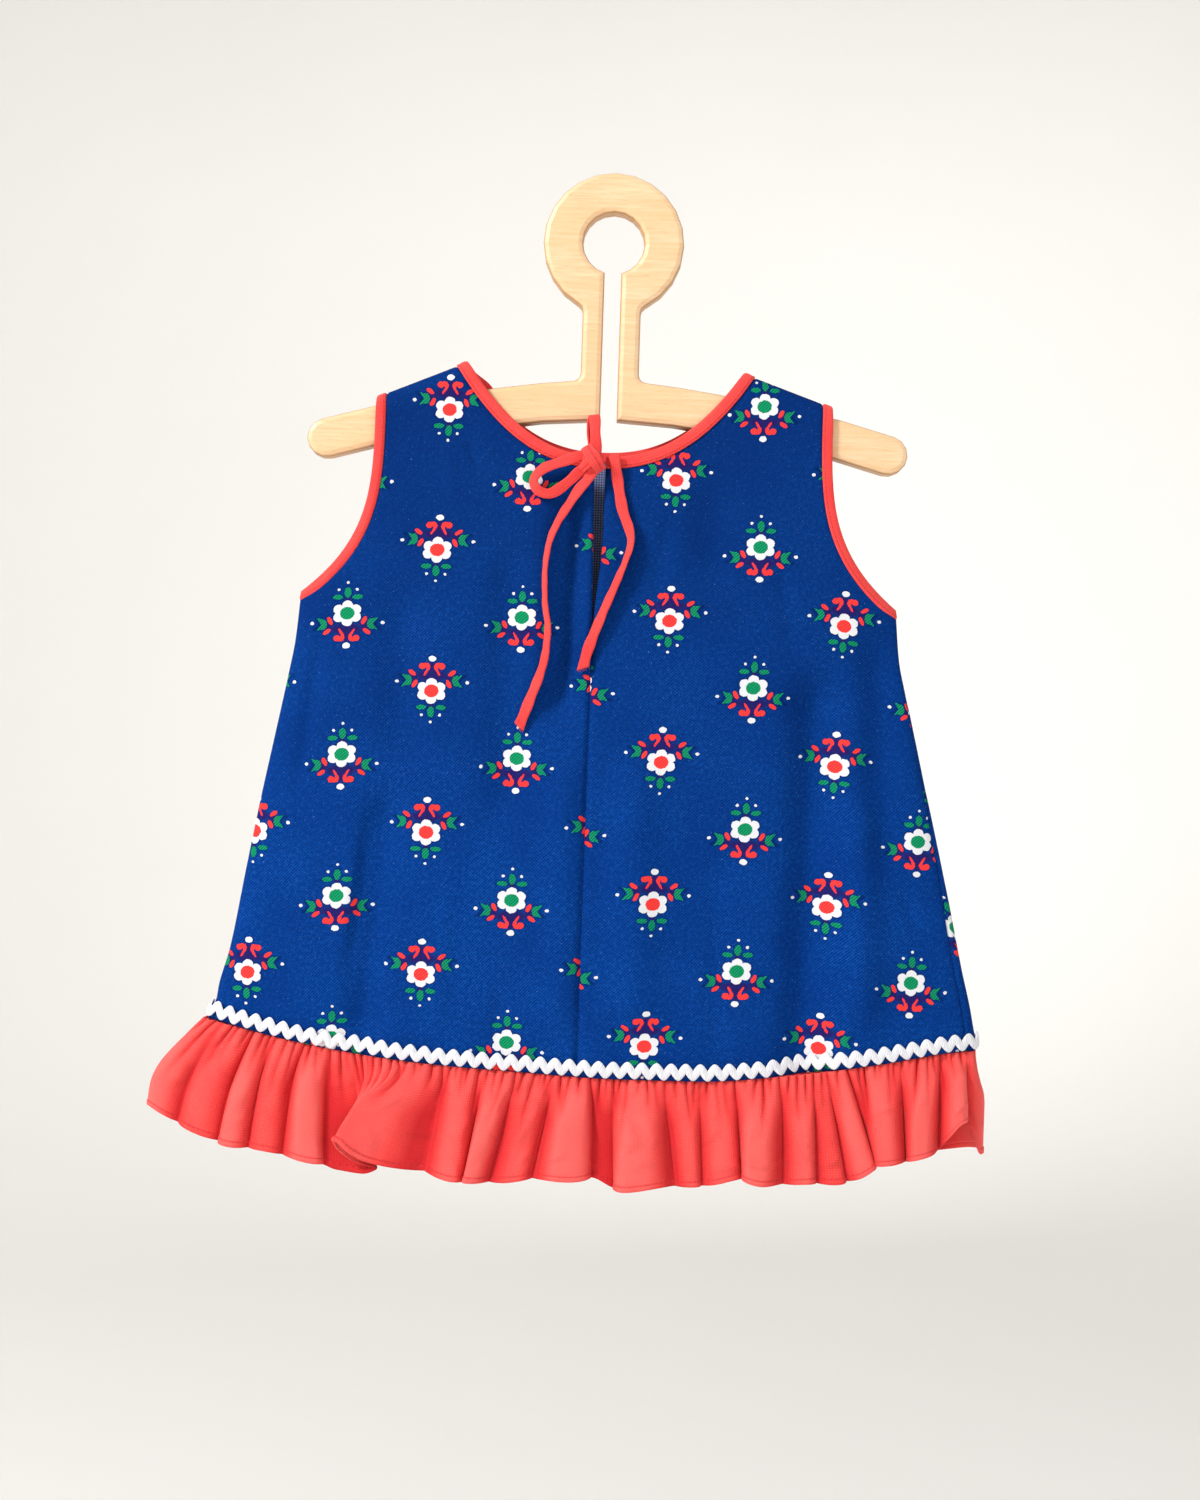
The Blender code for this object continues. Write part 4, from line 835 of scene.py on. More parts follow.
def side_line(side, face):
    """Outer edge of a piece as (angle, height): armhole, then side seam."""
    armhole = on_face(face, arm_edge(side)[1], SIGN[side])
    corner = armhole[-1, 1]
    armhole[-1, 0] = seam_angle(side, face, corner)
    foot_angle = math.radians(float(SEAMS.at(side, SEAM_FOOT_Z)))
    foot_half = SIDES.at(side, SIDE_FOOT_Z) * math.sin(foot_angle)
    foot_z = JOIN.at("z", CENTRE_X + SIGN[side] * foot_half)
    z = mix(corner, foot_z, np.arange(1, BODY_STEPS + 1) / BODY_STEPS)
    return np.concatenate((armhole, np.stack((seam_angle(side, face, z), z), axis=1)))


def patch(top, foot, first, last, rows, columns):
    """Fill between four edges of (angle, height) points."""
    v, u = rows[:, None, None], columns[None, :, None]
    ends = mix(first[:, None], last[:, None], u)
    sides = mix(top[None], foot[None], v)
    corners = mix(mix(top[0], top[-1], u), mix(foot[0], foot[-1], u), v)
    return ends + sides - corners


def shares(points):
    steps = np.linalg.norm(np.diff(points, axis=0), axis=1)
    return np.concatenate(([0.0], np.cumsum(steps))) / steps.sum()


def foot_line(first, last, u):
    """Lower edge of a printed piece as (angle, height)."""
    angles = mix(first[0], last[0], u)
    foot = np.stack((angles, join_z(angles)), axis=1)
    foot[0], foot[-1] = first, last
    return foot


def near_half_grid(side):
    sign = SIGN[side]
    outer = side_line(side, "near")
    cut = neck_edge(side, "near")[1]
    neck = on_face("near", cut, sign)
    foot_z = JOIN.at("z", MIDDLE.at(side, MIDDLE_FOOT_Z))
    upper = len(outer) - len(neck) - BODY_STEPS
    z = np.concatenate((mix(neck[-1, 1], MIDDLE_ARM_Z, np.arange(1, upper + 1) / upper),
                        mix(MIDDLE_ARM_Z, foot_z, np.arange(1, BODY_STEPS + 1) / BODY_STEPS)))
    middle = on_face("near", np.stack((MIDDLE.at(side, z) - CENTRE_X, z), axis=1))
    inner = np.concatenate((neck, middle))
    u = np.linspace(0, 1, HALF_COLUMNS + 1)
    offset = mix(sign * cut[0, 0], sign * arm_edge(side)[1][0, 0], u)
    top = on_face("near", np.stack((offset, ridge_z(offset)), axis=1))
    return patch(top, foot_line(inner[-1], outer[-1], u), inner, outer, shares(outer), u)


def far_grid():
    right, left = side_line("right", "far"), side_line("left", "far")
    places = []
    for side, sign in (("right", 1), ("left", -1)):
        cut = neck_edge(side, "far")[1]
        arm = arm_edge(side)[1][0, 0]
        offset = mix(arm, cut[0, 0], np.arange(SHOULDER_COLUMNS) / SHOULDER_COLUMNS) * sign
        line = np.concatenate((np.stack((offset, ridge_z(offset)), axis=1), cut * (sign, 1)))
        places.append(line if side == "right" else line[:-1][::-1])
    top = on_face("far", np.concatenate(places))
    u = (top[:, 0] - top[0, 0]) / (top[-1, 0] - top[0, 0])
    return patch(top, foot_line(right[-1], left[-1], u), right, left, shares(right), u)


def grid_normals(points, closed=False):
    """Outward unit normals of a grid whose rows run down and columns run anticlockwise
    as seen from above."""
    if closed:
        along = np.gradient(np.concatenate((points[-1:], points, points[:1])), axis=0)[1:-1]
    else:
        along = np.gradient(points, axis=0)
    return unit(np.cross(along, np.gradient(points, axis=1)))


def travelled(points, axis=0):
    """Distance along a grid's rows or columns from its first one."""
    steps = np.linalg.norm(np.diff(points, axis=axis), axis=-1)
    start = np.zeros_like(np.take(steps, [0], axis=axis))
    return np.concatenate((start, np.cumsum(steps, axis=axis)), axis=axis)


def pressed_seams(points):
    """Cloth turned in along all four edges of a piece, where it is seamed."""
    dip = np.zeros(points.shape[:2])
    for axis in (0, 1):
        ahead = travelled(points, axis)
        behind = travelled(np.flip(points, axis), axis)
        for distance in (ahead, np.flip(behind, axis)):
            dip = np.maximum(dip, np.exp(-(distance / SEAM_ROUND) ** 2))
    return points - grid_normals(points) * (dip * SEAM_DEPTH)[..., None]


# Meshes

def sheet_mesh(name, grids, closed_rows=False, closed_columns=False, capped=False):
    """One mesh from grids of points in millimetres, each with its flat cloth coordinates.
    A closed grid has one more row or column of flat coordinates than of points."""
    verts, faces, corners = [], [], []
    for points, flat in grids:
        start = len(verts)
        rows, columns = points.shape[:2]
        i, j = np.meshgrid(np.arange(rows if closed_rows else rows - 1),
                           np.arange(columns if closed_columns else columns - 1), indexing="ij")
        i, j = i.ravel(), j.ravel()
        k, m = (i + 1) % rows, (j + 1) % columns
        quads = np.stack((i * columns + j, k * columns + j, k * columns + m, i * columns + m),
                         axis=1)
        verts += (points.reshape(-1, 3) * MM).tolist()
        faces += (quads + start).tolist()
        corners += np.stack((flat[i, j], flat[i + 1, j], flat[i + 1, j + 1], flat[i, j + 1]),
                            axis=1).reshape(-1, 2).tolist()
        if capped:
            for row in (0, rows - 1):
                order = range(columns) if row == 0 else range(columns - 1, -1, -1)
                faces.append([start + row * columns + c for c in order])
                corners += [flat[row, c].tolist() for c in order]
    name += "_sewn"
    mesh = bpy.data.meshes.new(name)
    mesh.from_pydata(verts, [], faces)
    mesh.uv_layers.new(name="cloth").data.foreach_set("uv", np.array(corners).ravel())
    mesh.shade_smooth()
    piece = bpy.data.objects.new(name, mesh)
    bpy.context.scene.collection.objects.link(piece)
    return piece


def thicken(piece, thickness, wrong=None):
    """Give a sheet its thickness, with another finish on its wrong side if it has one."""
    wall = piece.modifiers.new("thickness", "SOLIDIFY")
    wall.thickness = thickness * MM
    wall.offset = 0.0
    if wrong:
        piece.data.materials.append(wrong)
        wall.material_offset = 1


def sewn_on(piece, node, material):
    """The piece takes the place of its CAD node and hangs with the garment."""
    if not piece.data.materials:
        piece.data.materials.append(material)
    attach(piece, BODY)
    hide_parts(node)
    return piece


def join_pieces(piece, other):
    for shown in bpy.context.selected_objects:
        shown.select_set(False)
    other.select_set(True)
    piece.select_set(True)
    bpy.context.view_layer.objects.active = piece
    bpy.ops.object.join()
    piece.select_set(False)


def section_flat(distance, section, scale):
    """Flat coordinates of a closed section along its route: distance, way round it."""
    shape = np.concatenate((section, section[:1])) * scale
    flat = np.zeros((len(distance), len(shape), 2))
    flat[:, :, 0] = distance[:, None]
    flat[:, :, 1] = travelled(shape[:, None])[:, 0]
    return flat


# Ties, made before the cloth they lie on

def front_y(x, z, reach):
    """Foremost cloth within a tape's reach of a place on the near side."""
    z = np.minimum(z, NECK_LOW_Z["near"] - NECK_BINDING - 1)
    found = [cloth_point(cloth_angle("near", x + way - CENTRE_X, z), z)[..., 1]
             for way in (-reach, -reach / 2, 0.0, reach / 2, reach)]
    return np.min(found, axis=0)


def smooth_route(rows, step):
    """Even stations on a smooth curve through the rows of a route."""
    rows = np.array(rows)
    ends = np.concatenate((rows[:1], rows, rows[-1:]))
    t = np.linspace(0, 1, ROUTE_FINE, endpoint=False)[:, None]
    fine = []
    for p0, p1, p2, p3 in zip(ends, ends[1:], ends[2:], ends[3:]):
        fine.append(0.5 * (2 * p1 + (p2 - p0) * t + (2 * p0 - 5 * p1 + 4 * p2 - p3) * t ** 2
                           + (3 * p1 - p0 - 3 * p2 + p3) * t ** 3))
    fine = np.concatenate(fine + [rows[-1:]])
    lengths = travelled(fine[:, None, :3])[:, 0]
    at = np.linspace(0, lengths[-1], max(2, round(lengths[-1] / step)) + 1)
    return np.stack([np.interp(at, lengths, fine[:, c]) for c in range(4)], axis=1)


def tape_frame(route):
    """Places along a tape, with its directions across and out of its flat side."""
    x, z, lift, turn = smooth_route(route, TAPE_STEP).T
    places = np.stack((x, front_y(x, z, TAPE_WIDE / 2) - lift, z), axis=1)
    along = unit(np.gradient(places, axis=0))
    level = np.cross(along[0], (0, 1, 0))
    across, out = [], []
    for way, angle in zip(along, np.radians(turn)):
        level = level - way * level.dot(way)
        level = level / np.linalg.norm(level)
        across.append(level * math.cos(angle) + np.cross(way, level) * math.sin(angle))
        out.append(np.cross(across[-1], way))
    return places, along, np.array(across), np.array(out)


def tape_piece(name, slant=0.0, frayed=False):
    """Narrow tie folded from red cloth, its rows drawn along the route."""
    places, along, across, out = tape_frame(TIE_ROUTES[name])
    wide, high = TAPE_SECTION[None, :, :1], TAPE_SECTION[None, :, 1:]
    distance = travelled(places[:, None])[:, 0]
    wave = 0.10 * np.sin(distance * 0.9) + 0.08 * np.sin(distance * 0.37 + 1.0)
    half = TAPE_WIDE / 2 * (1 + 0.06 * np.sin(distance * 0.5 + len(name)))
    share = np.clip((distance - distance[-1]) / SLANT_LONG + 1, 0.0, 1.0)
    points = (places[:, None] + across[:, None] * (wide * half[:, None, None])
              + out[:, None] * (high * TAPE_HEIGHT + wave[:, None, None] * 0.5)
              + along[:, None] * (wide * (share * slant)[:, None, None]))
    flat = section_flat(distance, TAPE_SECTION, (TAPE_WIDE / 2, TAPE_HEIGHT))
    piece = sheet_mesh(name, [(points, flat)], closed_columns=True, capped=True)
    if frayed:
        fray(piece, places[-1], along[-1], across[-1], out[-1], slant)
    return piece, places


def fray(piece, end, along, across, out, slant):
    """Loose yarns that stand out of a cut end."""
    dice = np.random.default_rng(len(piece.name))
    grids = []
    for k in range(FRAY_YARNS):
        share = 2 * (k + 0.5) / FRAY_YARNS - 1
        start = end + across * share * TAPE_WIDE * YARN_SPREAD
        start = start + along * (slant * share - YARN_START) + out * dice.uniform(-0.4, 0.4)
        way = unit(along + across * (share * 0.5 + dice.normal(0, 0.3))
                   + out * dice.normal(0, 0.15))
        length = dice.uniform(*YARN_LONG)
        bend = across * dice.normal(0, 0.5)
        ring = []
        for t in (0.0, 0.4, 0.75, 1.0):
            place = start + way * length * t + bend * t * t
            thick = YARN_HALF * (1 - YARN_TAPER * t)
            ring.append([place + (across * math.cos(a) + out * math.sin(a)) * thick
                         for a in (0.0, 2.09, 4.19)])
        flat = np.zeros((4, 4, 2))
        flat[:, :, 1] = 0.3
        grids.append((np.array(ring), flat))
    join_pieces(piece, sheet_mesh("yarns", grids, closed_columns=True, capped=True))


def wrapped_knot():
    """Tight knot: a core with two turns of tape pulled round it, the later one on top."""
    x, z, lift = KNOT_PLACE
    size = np.array(KNOT_SIZE) / 2
    centre = np.array([x, float(front_y(np.array(x), np.array(z), size[0])) - lift, z])
    rows, columns = KNOT_GRID
    tall = np.linspace(POLE_GAP, math.pi - POLE_GAP, rows)[:, None]
    around = np.linspace(0, 2 * math.pi, columns, endpoint=False)[None, :]
    ball = np.stack((np.sin(tall) * np.sin(around), -np.sin(tall) * np.cos(around),
                     np.cos(tall) + 0 * around), axis=-1)
    flat = np.zeros((rows, columns + 1, 2))
    flat[:, :, 0] = np.linspace(0, 30, columns + 1)[None, :]
    flat[:, :, 1] = np.linspace(0.5, 3.5, rows)[:, None]
    core = sheet_mesh("tie_knot", [(centre + ball * size * KNOT_CORE, flat)],
                      closed_columns=True, capped=True)
    turn = np.linspace(0, 2 * math.pi, KNOT_RING, endpoint=False)
    over, forward = np.cos(turn)[:, None], np.sin(turn)[:, None]
    front = np.array([0.0, -1.0, 0.0])
    for tilt, wide, tall_half, shift_x, shift_z, rise in KNOT_TURNS:
        lean = math.radians(tilt)
        # The ring runs over the knot's front and back; its tape lies across the ring's axis
        axis = np.array([math.cos(lean), 0.0, math.sin(lean)])
        up = np.array([-math.sin(lean), 0.0, math.cos(lean)])
        reach = size[1] * TURN_DEEP + rise
        ring = over * up * tall_half + forward * front * reach
        out = unit(over * up / tall_half + forward * front / reach)
        half = wide * TURN_WIDE * (1 - KNOT_PINCH * np.abs(over))
        points = (centre + np.array([shift_x, 0, shift_z]) + ring[:, None]
                  + axis * (TAPE_SECTION[None, :, :1] * half[:, None])
                  + out[:, None] * TAPE_SECTION[None, :, 1:] * TAPE_HEIGHT)
        flat = np.zeros((len(turn) + 1, len(TAPE_SECTION) + 1, 2))
        flat[:, :, 0] = np.linspace(0, 32, len(turn) + 1)[:, None]
        flat[:, :, 1] = np.linspace(0, 14, len(TAPE_SECTION) + 1)[None, :]
        join_pieces(core, sheet_mesh("knot_turn", [(points, flat)], closed_rows=True,
                                     closed_columns=True))
    return core


tie_cotton = red_cotton("red cotton tape", (4.2,), TAPE_SPACING)
knot = sewn_on(wrapped_knot(), "tie_knot", tie_cotton)
loop_side = sewn_on(tape_piece("bow_loop_side")[0], "bow_loop_side", tie_cotton)
loop_up = sewn_on(tape_piece("bow_loop_up")[0], "bow_loop_up", tie_cotton)
for tail_name, tail_slant, knotted in (("tie_tail_left", 1.2, [knot, loop_side, loop_up]),
                                       ("tie_tail_right", -1.6, [])):
    tail, line = tape_piece(tail_name, slant=tail_slant, frayed=True)
    sewn_on(tail, tail_name, tie_cotton)


# Printed panels

def panel(name, grid, face, lay):
    """Printed cloth from its grid of (angle, height), laid on the print as it was cut."""
    angle, z = grid[..., 0], grid[..., 1]
    around = (CENTRE_X + girth(face, angle, z)) * (1 if face == "near" else -1)
    at_x, at_z, print_x, print_z, lean, slope, pull, droop = lay
    pulled = (pull * ease((z - SHOULDER_PULL_Z) / PULL_TALL)
              * np.clip(np.abs(around) / PULL_WIDE, 0, 1))
    drooped = droop * ease((np.abs(around) - SIDE_DROOP_X) / DROOP_WIDE)
    u, v = around + np.sign(around) * pulled - at_x, z + drooped - at_z
    flat = np.stack((u - v * math.tan(math.radians(lean)) + print_x,
                     v - u * math.tan(math.radians(slope)) + print_z), axis=-1)
    piece = sheet_mesh(name, [(pressed_seams(cloth_point(angle, z)), flat)])
    piece.data.materials.append(twill)
    thicken(piece, CLOTH, twill_back)
    return sewn_on(piece, name, twill)


twill = printed_cotton()
twill_back = wrong_side()
panel_left = panel("panel_near_left", near_half_grid("left")[:, ::-1], "near",
                   PRINT_LAY["near_left"])
panel_right = panel("panel_near_right", near_half_grid("right"), "near", PRINT_LAY["near_right"])
panel_far = panel("panel_far", far_grid(), "far", PRINT_LAY["far"])


# Bindings

def cloth_normal(angle, z):
    """Outward unit normal of the cloth, from points a quarter of a degree and 0.3 mm away."""
    down = cloth_point(angle, z) - cloth_point(angle, z - 0.3)
    across = cloth_point(angle + 0.25, z) - cloth_point(angle - 0.25, z)
    return unit(np.cross(across, down))


def edges_on_cloth(edges, side, face):
    """Cloth points of edges given as (distance from the middle, height)."""
    lines = (on_face(face, edge, SIGN[side]) for edge in edges)
    return [cloth_point(line[:, 0], line[:, 1], face) for line in lines]


def binding(name, finished, cut, closed, seed):
    """Folded strip sewn over an edge, a little puckered by its stitching. The normals are
    evened out three times, so that it doesn't kink where the edge bends."""
    normals = grid_normals(np.stack((finished, cut), axis=1), closed)
    for _ in range(3):
        before, after = (normals[-1:], normals[:1]) if closed else (normals[:1], normals[-1:])
        around = np.concatenate((before, normals, after))
        normals = unit(around[:-2] + 2 * around[1:-1] + around[2:])
    distance = travelled(finished[:, None])[:, 0]
    pucker = 0.12 * np.sin(distance * 1.9 + seed) * np.sin(distance * 0.31 + seed)
    pucker = (pucker + 0.10 * np.sin(distance * 0.83 + 2 * seed))[:, None, None]
    share, height = BINDING_SECTION[None, :, :1], BINDING_SECTION[None, :, 1:]
    # Its inner layer is thinner where the two faces meet under the arm
    room = np.clip(np.abs(cut[:, 1]) / 1.6, 0.25, 1.0)[:, None, None]
    height = np.where(height > 0, height + 0.5 * pucker * (height > 0.9), height * room)
    points = cut[:, None] + (finished - cut)[:, None] * share + normals[:, 1, None] * height
    if closed:
        distance = np.append(distance, distance[-1] + np.linalg.norm(finished[0] - finished[-1]))
    flat = section_flat(distance, BINDING_SECTION, (NECK_BINDING, 1.0))
    return sheet_mesh(name, [(points, flat)], closed_rows=closed, closed_columns=True,
                      capped=not closed)


def neck_binding():
    parts = []
    for side, face, backwards in (("left", "near", True), ("left", "far", False),
                                  ("right", "far", True), ("right", "near", False)):
        pair = edges_on_cloth(neck_edge(side, face, BINDING_STEPS), side, face)
        parts.append([line[::-1] if backwards else line for line in pair])
    finished, cut = (np.concatenate([parts[0][k]] + [part[k][1:] for part in parts[1:]])
                     for k in (0, 1))
    return binding("neck_binding", finished, cut, False, 1.0)


def armhole_binding(side, seed):
    edges = arm_edge(side, BINDING_STEPS)
    near, far = (edges_on_cloth(edges, side, face) for face in ("near", "far"))
    for line in near:
        line[-1, 1] = 0.0
    rings = [np.concatenate((a[::-1], b[1:-1])) for a, b in zip(near, far)]
    if side == "right":
        rings = [ring[::-1] for ring in rings]
    return binding("armhole_binding_" + side, rings[0], rings[1], True, seed)


binding_cotton = red_cotton("red cotton binding", (1.75, 12.6))
bands = [neck_binding(), armhole_binding("left", 2.0), armhole_binding("right", 3.0)]
for band, node in zip(bands, ("neck_binding", "armhole_binding_left", "armhole_binding_right")):
    sewn_on(band, node, binding_cotton)


# Zigzag braid

def seam_ends(face):
    """Angles of the two side seams at the foot, in the order that the face is drawn."""
    left, right = float(SEAMS.at("left", SEAM_FOOT_Z)), float(SEAMS.at("right", SEAM_FOOT_Z))
    return (-left, right) if face == "near" else (right, 360.0 - left)


def swing(phase):
    """How far the braid's edge reaches from its middle: BRAID_NOTCH to BRAID_TIP."""
    wave = (0.5 + 0.5 * np.cos(2 * math.pi * (phase - 0.125))) ** BRAID_ROUND
    return mix(BRAID_NOTCH, BRAID_TIP, wave)


def rickrack(face):
    """Zigzag braid that swings up and down along the join."""
    fine = np.linspace(*seam_ends(face), BRAID_FINE)
    lengths = travelled(cloth_point(fine, join_z(fine))[:, None])[:, 0]
    waves = round(lengths[-1] / BRAID_PITCH)
    phase = np.linspace(0, waves, waves * BRAID_SAMPLES + 1)
    angle = np.interp(phase / waves * lengths[-1], lengths, fine)
    uneven = 0.3 * (0.25 * np.sin(phase * 1.7) + 0.2 * np.sin(phase * 0.45 + 1))
    upper, lower = uneven + swing(phase), uneven - swing(phase + 0.5)
    middle = join_z(angle) + BRAID_ABOVE_JOIN
    line = cloth_point(angle, middle)
    out = cloth_normal(angle, middle)
    up = unit(np.cross(out, unit(np.gradient(line, axis=0))))
    up *= np.sign(up[:, 2:])
    zigzag = np.sign(np.abs(phase % 1.0 - 0.625) - 0.25)
    grid, flat = [], []
    for share in BRAID_SHARES:
        crown = 1 - (2 * share - 1) ** 4
        lift = BRAID_OUT + 0.35 * crown + 0.15 * np.sin(phase * 2 * math.pi)
        grid.append(line + up * mix(upper, lower, share)[:, None] + out * lift[:, None])
        flat.append(np.stack((phase * BRAID_PITCH * BRAID_STRETCH + (share - 0.5) * 2.0 * zigzag,
                              share * BRAID_BAND + 0 * phase), axis=-1))
    piece = sheet_mesh("rickrack_" + face, [(np.array(grid), np.array(flat))])
    thicken(piece, BRAID_THICK)
    return sewn_on(piece, "rickrack_" + face, braid_cotton)


braid_cotton = white_braid()
braids = [rickrack("near"), rickrack("far")]


# Ruffles

def ruffle_base(angle, share):
    """Smooth form that the ruffle's folds stand on, without its height."""
    turn = np.radians(angle)
    right, near = np.sin(turn) >= 0, np.cos(turn) > 0
    # At both ends the frill bulges out below the join
    bulge = mix(share, 1 - (1 - share) ** FRILL_BULGE, np.sin(turn) ** 6)
    half = mix(by_side(right, SIDES.row(FRILL_TOP_Z)), by_side(right, RUFFLE_HALF), bulge)
    crown = np.abs(np.cos(turn)) ** by_face(near, ROUNDNESS)
    deep = mix(by_face(near, DEPTHS.row(FRILL_DEPTH_Z)), by_face(near, RUFFLE_DEPTH), share)
    stand = deep * crown
    return np.stack((CENTRE_X + half * np.sin(turn), np.where(near, -stand, stand), 0 * half),
                    axis=-1)


def ruffle_angle(face, x, share):
    side = "left" if x < CENTRE_X else "right"
    half = mix(SIDES.at(side, FRILL_TOP_Z), RUFFLE_HALF[side], share)
    angle = math.degrees(math.asin(min(max((x - CENTRE_X) / half, -1.0), 1.0)))
    return angle if face == "near" else 180.0 - angle


def gathered_form(ridge):
    """Mean of the ridges over FORM_COLUMNS columns, about 26 mm; valleys lie below it."""
    reach = FORM_COLUMNS // 2
    padded = np.pad(ridge, ((0, 0), (reach, reach)), mode="edge")
    sums = np.cumsum(np.pad(padded, ((0, 0), (1, 0))), axis=1)
    return (sums[:, 2 * reach + 1:] - sums[:, :-2 * reach - 1]) / (2 * reach + 1)


def gathers(at_join, share, seed):
    """Small folds pressed in by the gathering thread; each starts at the join and fades out
    lower."""
    dice = np.random.default_rng(seed)
    total = np.zeros(np.broadcast(at_join, share).shape)
    place = 1.5
    while place < at_join.max():
        long = dice.uniform(0.2, 0.95) * dice.uniform(0.6, 1.0)
        depth = dice.uniform(1.6, 4.2) * (0.6 + 0.6 * long)
        drift = dice.normal(0.0, 3.5)
        wide = dice.uniform(0.8, 1.2) + share * dice.uniform(1.5, 4.0)
        fade = ease(1 - share / long) ** 0.8
        total -= depth * fade * np.exp(-np.abs((at_join - place - drift * share) / wide) ** 1.4)
        place += dice.uniform(2.6, 5.6)
    return total


def ruffle_columns(face, share):
    """Angle and ridge height of each mesh point, and each column's lean, from the folds."""
    ends = seam_ends(face) if face == "near" else seam_ends(face)[::-1]
    valleys = [(ends[0], ends[0], 3.5, 0.0)]
    valleys += [(ruffle_angle(face, join_x, 0), ruffle_angle(face, hem_x, 1), height, lean)
                for join_x, hem_x, height, lean in RUFFLE_FOLDS[face]]
    valleys.append((ends[1], ends[1], 0.0, 0.0))
    angles, ridges, leans = [], [], []
    for here, after in zip(valleys, valleys[1:]):
        width = np.linalg.norm(ruffle_base(after[0], 0.0) - ruffle_base(here[0], 0.0))
        count = max(6, round(width / RUFFLE_COLUMN))
        t = np.arange(count) / count
        angles.append(mix(mix(here[0], after[0], t), mix(here[1], after[1], t), share))
        ridges.append(here[2] * (1 - np.abs(2 * t - 1) ** RIDGE_ROUND) + 0 * share)
        leans.append(here[3] + 0 * t)
    angles.append(ends[1] + 0 * share)
    ridges.append(0 * share)
    return (np.concatenate(angles, axis=1), np.concatenate(ridges, axis=1),
            np.append(np.concatenate(leans), 0.0), ends[1])


def ruffle(face):
    """Gathered frill: valleys and ridges from the fold table, fine gathers at the join."""
    share = RUFFLE_SHARES[:, None]
    angle, ridge, lean, end = ruffle_columns(face, share)
    base = ruffle_base(angle, share)
    x = base[..., 0]
    along = unit(ruffle_base(angle + 0.6, share) - ruffle_base(angle - 0.6, share))
    out = np.stack((along[..., 1], -along[..., 0], 0 * x), axis=-1)
    ridge = RUFFLE_FULLNESS * ridge * ease(share * RIDGE_RISE + RIDGE_START)
    ridge = ridge + gathers(travelled(base[:1], 1), share, GATHER_SEED[face])
    deep = ridge - gathered_form(ridge)
    ridge = ridge + HEM_STEP * ease((share * RUFFLE_TALL - RUFFLE_TALL + HEM_FOLD) / 0.5)
    hem_z = HEM[face].at("z", x)
    if face == "near":
        # The corner by the right side seam curls towards the viewer
        ridge = ridge + (CURL_OUT * np.exp(-((x - CURL_X) / CURL_WIDE) ** 2)
                         * ease((share - CURL_TOP) / CURL_TALL))
    else:
        hem_z = mix(CURL_Z, hem_z, ease((angle - end) / CURL_TURN))
    column = np.arange(x.shape[1])
    from_end = np.minimum(column, column[::-1])
    points = base + out * (ridge * np.clip(from_end / END_COLUMNS, 0, 1))[..., None]
    points += along * (lean * np.maximum(ridge, 0) * share ** LEAN_GROWTH)[..., None]
    top_z = JOIN.at("z", np.clip(x, JOIN.keys[0], JOIN.keys[-1])) - JOIN_OVERLAP
    points[..., 2] = mix(top_z, hem_z, share) + 0.5 * np.sin(x * 0.19) * share
    middle = points[len(RUFFLE_SHARES) // 2:][:1]
    flat = np.stack((travelled(middle, 1)[0] + 0 * x, (1 - share) * RUFFLE_TALL + 0 * x), axis=-1)
    piece = sheet_mesh("ruffle_" + face, [(points, flat)])
    # Depth below the gathered form, read by the frill's colour for its painted shade in valleys
    # and painted highlight on crests
    fold = piece.data.attributes.new("fold", "FLOAT", "POINT")
    fold.data.foreach_set("value", np.clip(0.5 + deep / FOLD_RANGE, 0, 1).ravel())
    thicken(piece, CLOTH)
    return sewn_on(piece, "ruffle_" + face, ruffle_cotton)


ruffle_cotton = red_cotton("red cotton ruffle", (2.7,), folded=True)
ruffles = [ruffle("near"), ruffle("far")]


# Hanger: the CAD board with its finish

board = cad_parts["hanger"]
plywood = birch_plywood()
for place in range(len(board.data.materials)):
    board.data.materials[place] = plywood


# Plain studio

FLOOR_Z = -0.95
FLOOR_RADIUS = 1.7
RIM_RADIUS = 1.9
RIM_STEPS = 16
BACKDROP_TALL = 1.6
GARMENT_MIDDLE = (0.0, 0.0, -0.27)
WORLD_STRENGTH = 0.46
LIGHTS = [
    # name, place, aim, size, power, tint
    ("key_light", (-1.7, -1.2, 1.15), GARMENT_MIDDLE, 0.5, 58.0, (1.0, 0.99, 0.975)),
    ("fill_light", (1.4, -1.9, 0.3), GARMENT_MIDDLE, 1.8, 9.0, (0.96, 0.98, 1.0)),
    ("back_light", (0.4, 1.9, 0.5), (0.0, 3.6, 0.2), 1.6, 9.5, (1.0, 1.0, 1.0)),
]


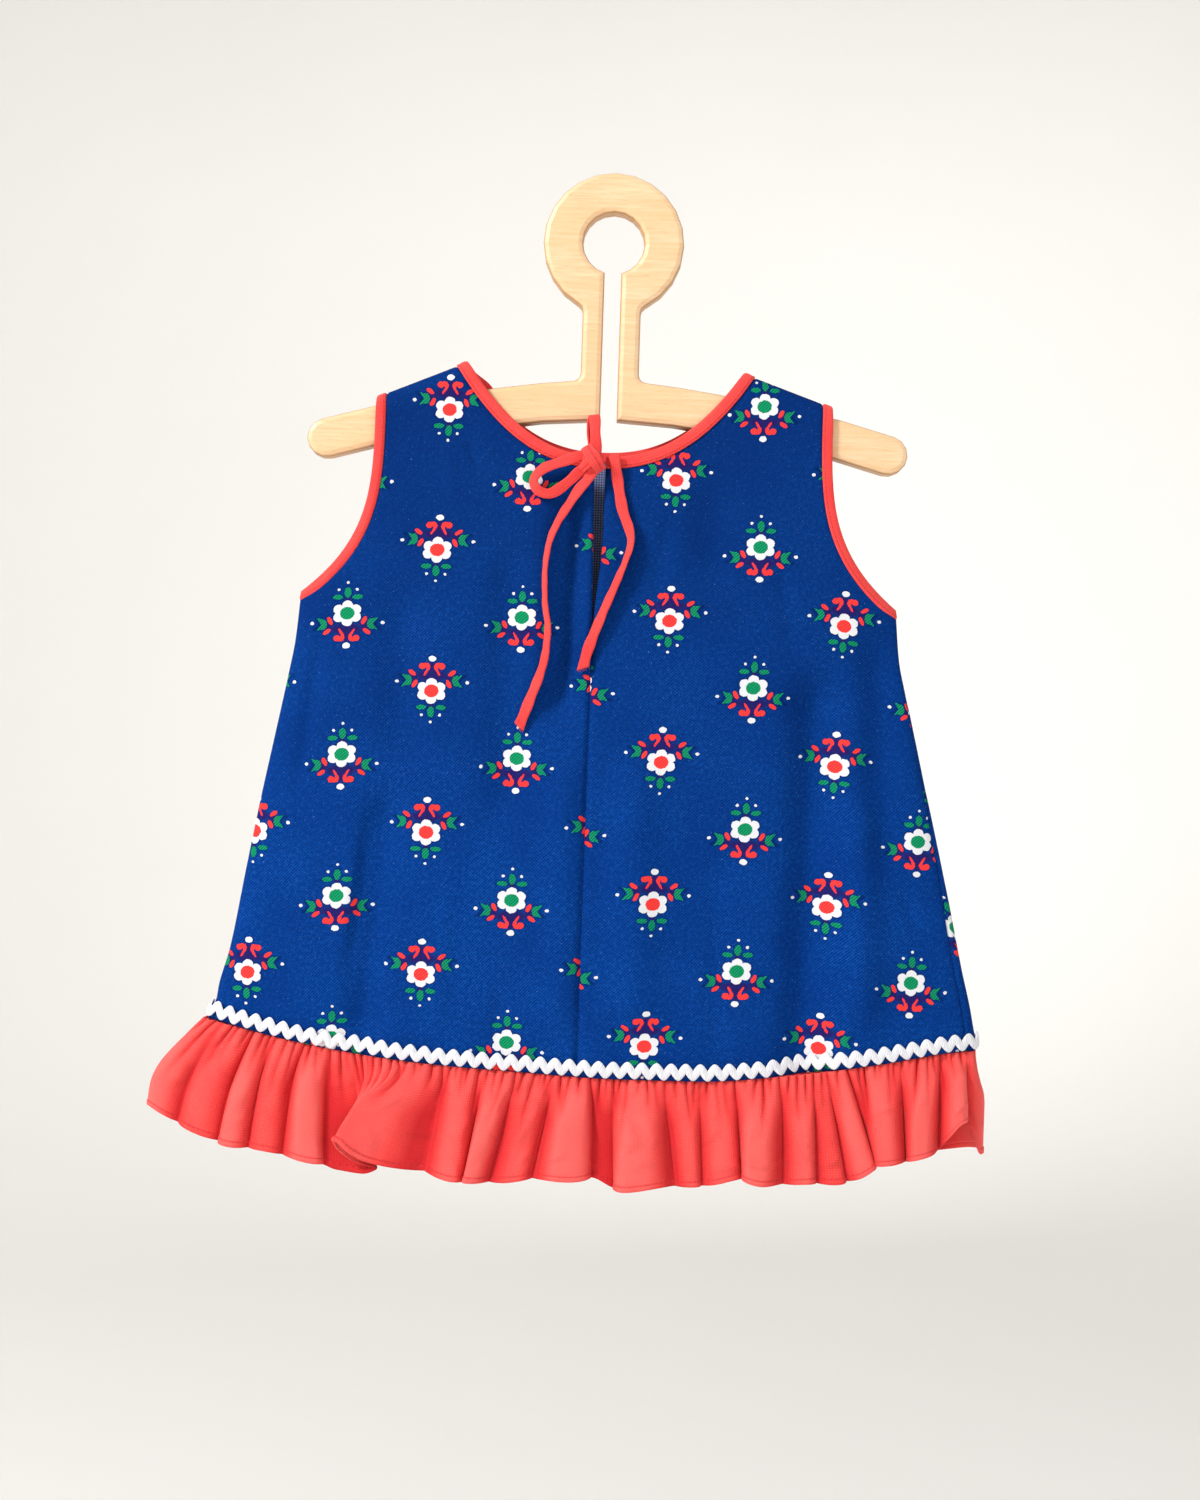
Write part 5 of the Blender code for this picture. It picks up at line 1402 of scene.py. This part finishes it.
def studio_bowl():
    """Pale floor that curves up into a backdrop all round."""
    bpy.ops.object.select_all(action="DESELECT")
    bpy.ops.mesh.primitive_circle_add(vertices=96, radius=FLOOR_RADIUS, fill_type="NGON",
                                      location=(0, 0, FLOOR_Z))
    bowl = bpy.context.object
    bowl.name = "studio_floor"
    bpy.ops.object.mode_set(mode="EDIT")
    bpy.ops.mesh.select_mode(type="EDGE")
    bpy.ops.mesh.select_all(action="SELECT")
    bpy.ops.mesh.region_to_loop()
    for step in range(RIM_STEPS + 1):
        before = math.pi / 2 * step / RIM_STEPS
        after = math.pi / 2 * min(step + 1, RIM_STEPS) / RIM_STEPS
        rise = RIM_RADIUS * (math.cos(before) - math.cos(after))
        if step == RIM_STEPS:
            rise = BACKDROP_TALL
        grow = ((FLOOR_RADIUS + RIM_RADIUS * math.sin(after))
                / (FLOOR_RADIUS + RIM_RADIUS * math.sin(before)))
        bpy.ops.mesh.extrude_edges_move(TRANSFORM_OT_translate={"value": (0, 0, rise)})
        bpy.ops.transform.resize(value=(grow, grow, 1))
    bpy.ops.mesh.select_all(action="SELECT")
    bpy.ops.mesh.normals_make_consistent(inside=True)
    bpy.ops.object.mode_set(mode="OBJECT")
    bpy.ops.object.shade_smooth()
    bpy.ops.object.transform_apply(location=True, rotation=True, scale=True)
    return bowl


def studio_paint():
    """Matt studio paint, warm white, very slightly uneven."""
    made, add = new_material("pale studio paint")
    place = add("TexCoord", out="Object")
    cloud = add("TexNoise", {"Vector": place, "Scale": 1.5, "Detail": 3.0})
    return finish(made, laid(add, "#f8f6f2", (cloud, "#fcfaf7")), None,
                  {"Roughness": 0.9, "Specular IOR Level": 0.1})


def soft_light(name, place, aim, size, power, tint):
    lamp = bpy.data.lights.new(name, "AREA")
    lamp.shape = "DISK"
    lamp.size, lamp.energy, lamp.color = size, power, tint
    made = bpy.data.objects.new(name, lamp)
    made.location = place
    made.rotation_euler = (Vector(aim) - Vector(place)).to_track_quat("-Z", "Y").to_euler()
    bpy.context.scene.collection.objects.link(made)


bowl = studio_bowl()
bowl.data.materials.append(studio_paint())
for light in LIGHTS:
    soft_light(*light)

world = bpy.data.worlds.new("studio")
world.use_nodes = True
sky = world.node_tree.nodes["Background"].inputs
sky["Color"].default_value = srgb("#f4f4f6")
sky["Strength"].default_value = WORLD_STRENGTH
bpy.context.scene.world = world
bpy.context.scene.view_settings.view_transform = "Standard"
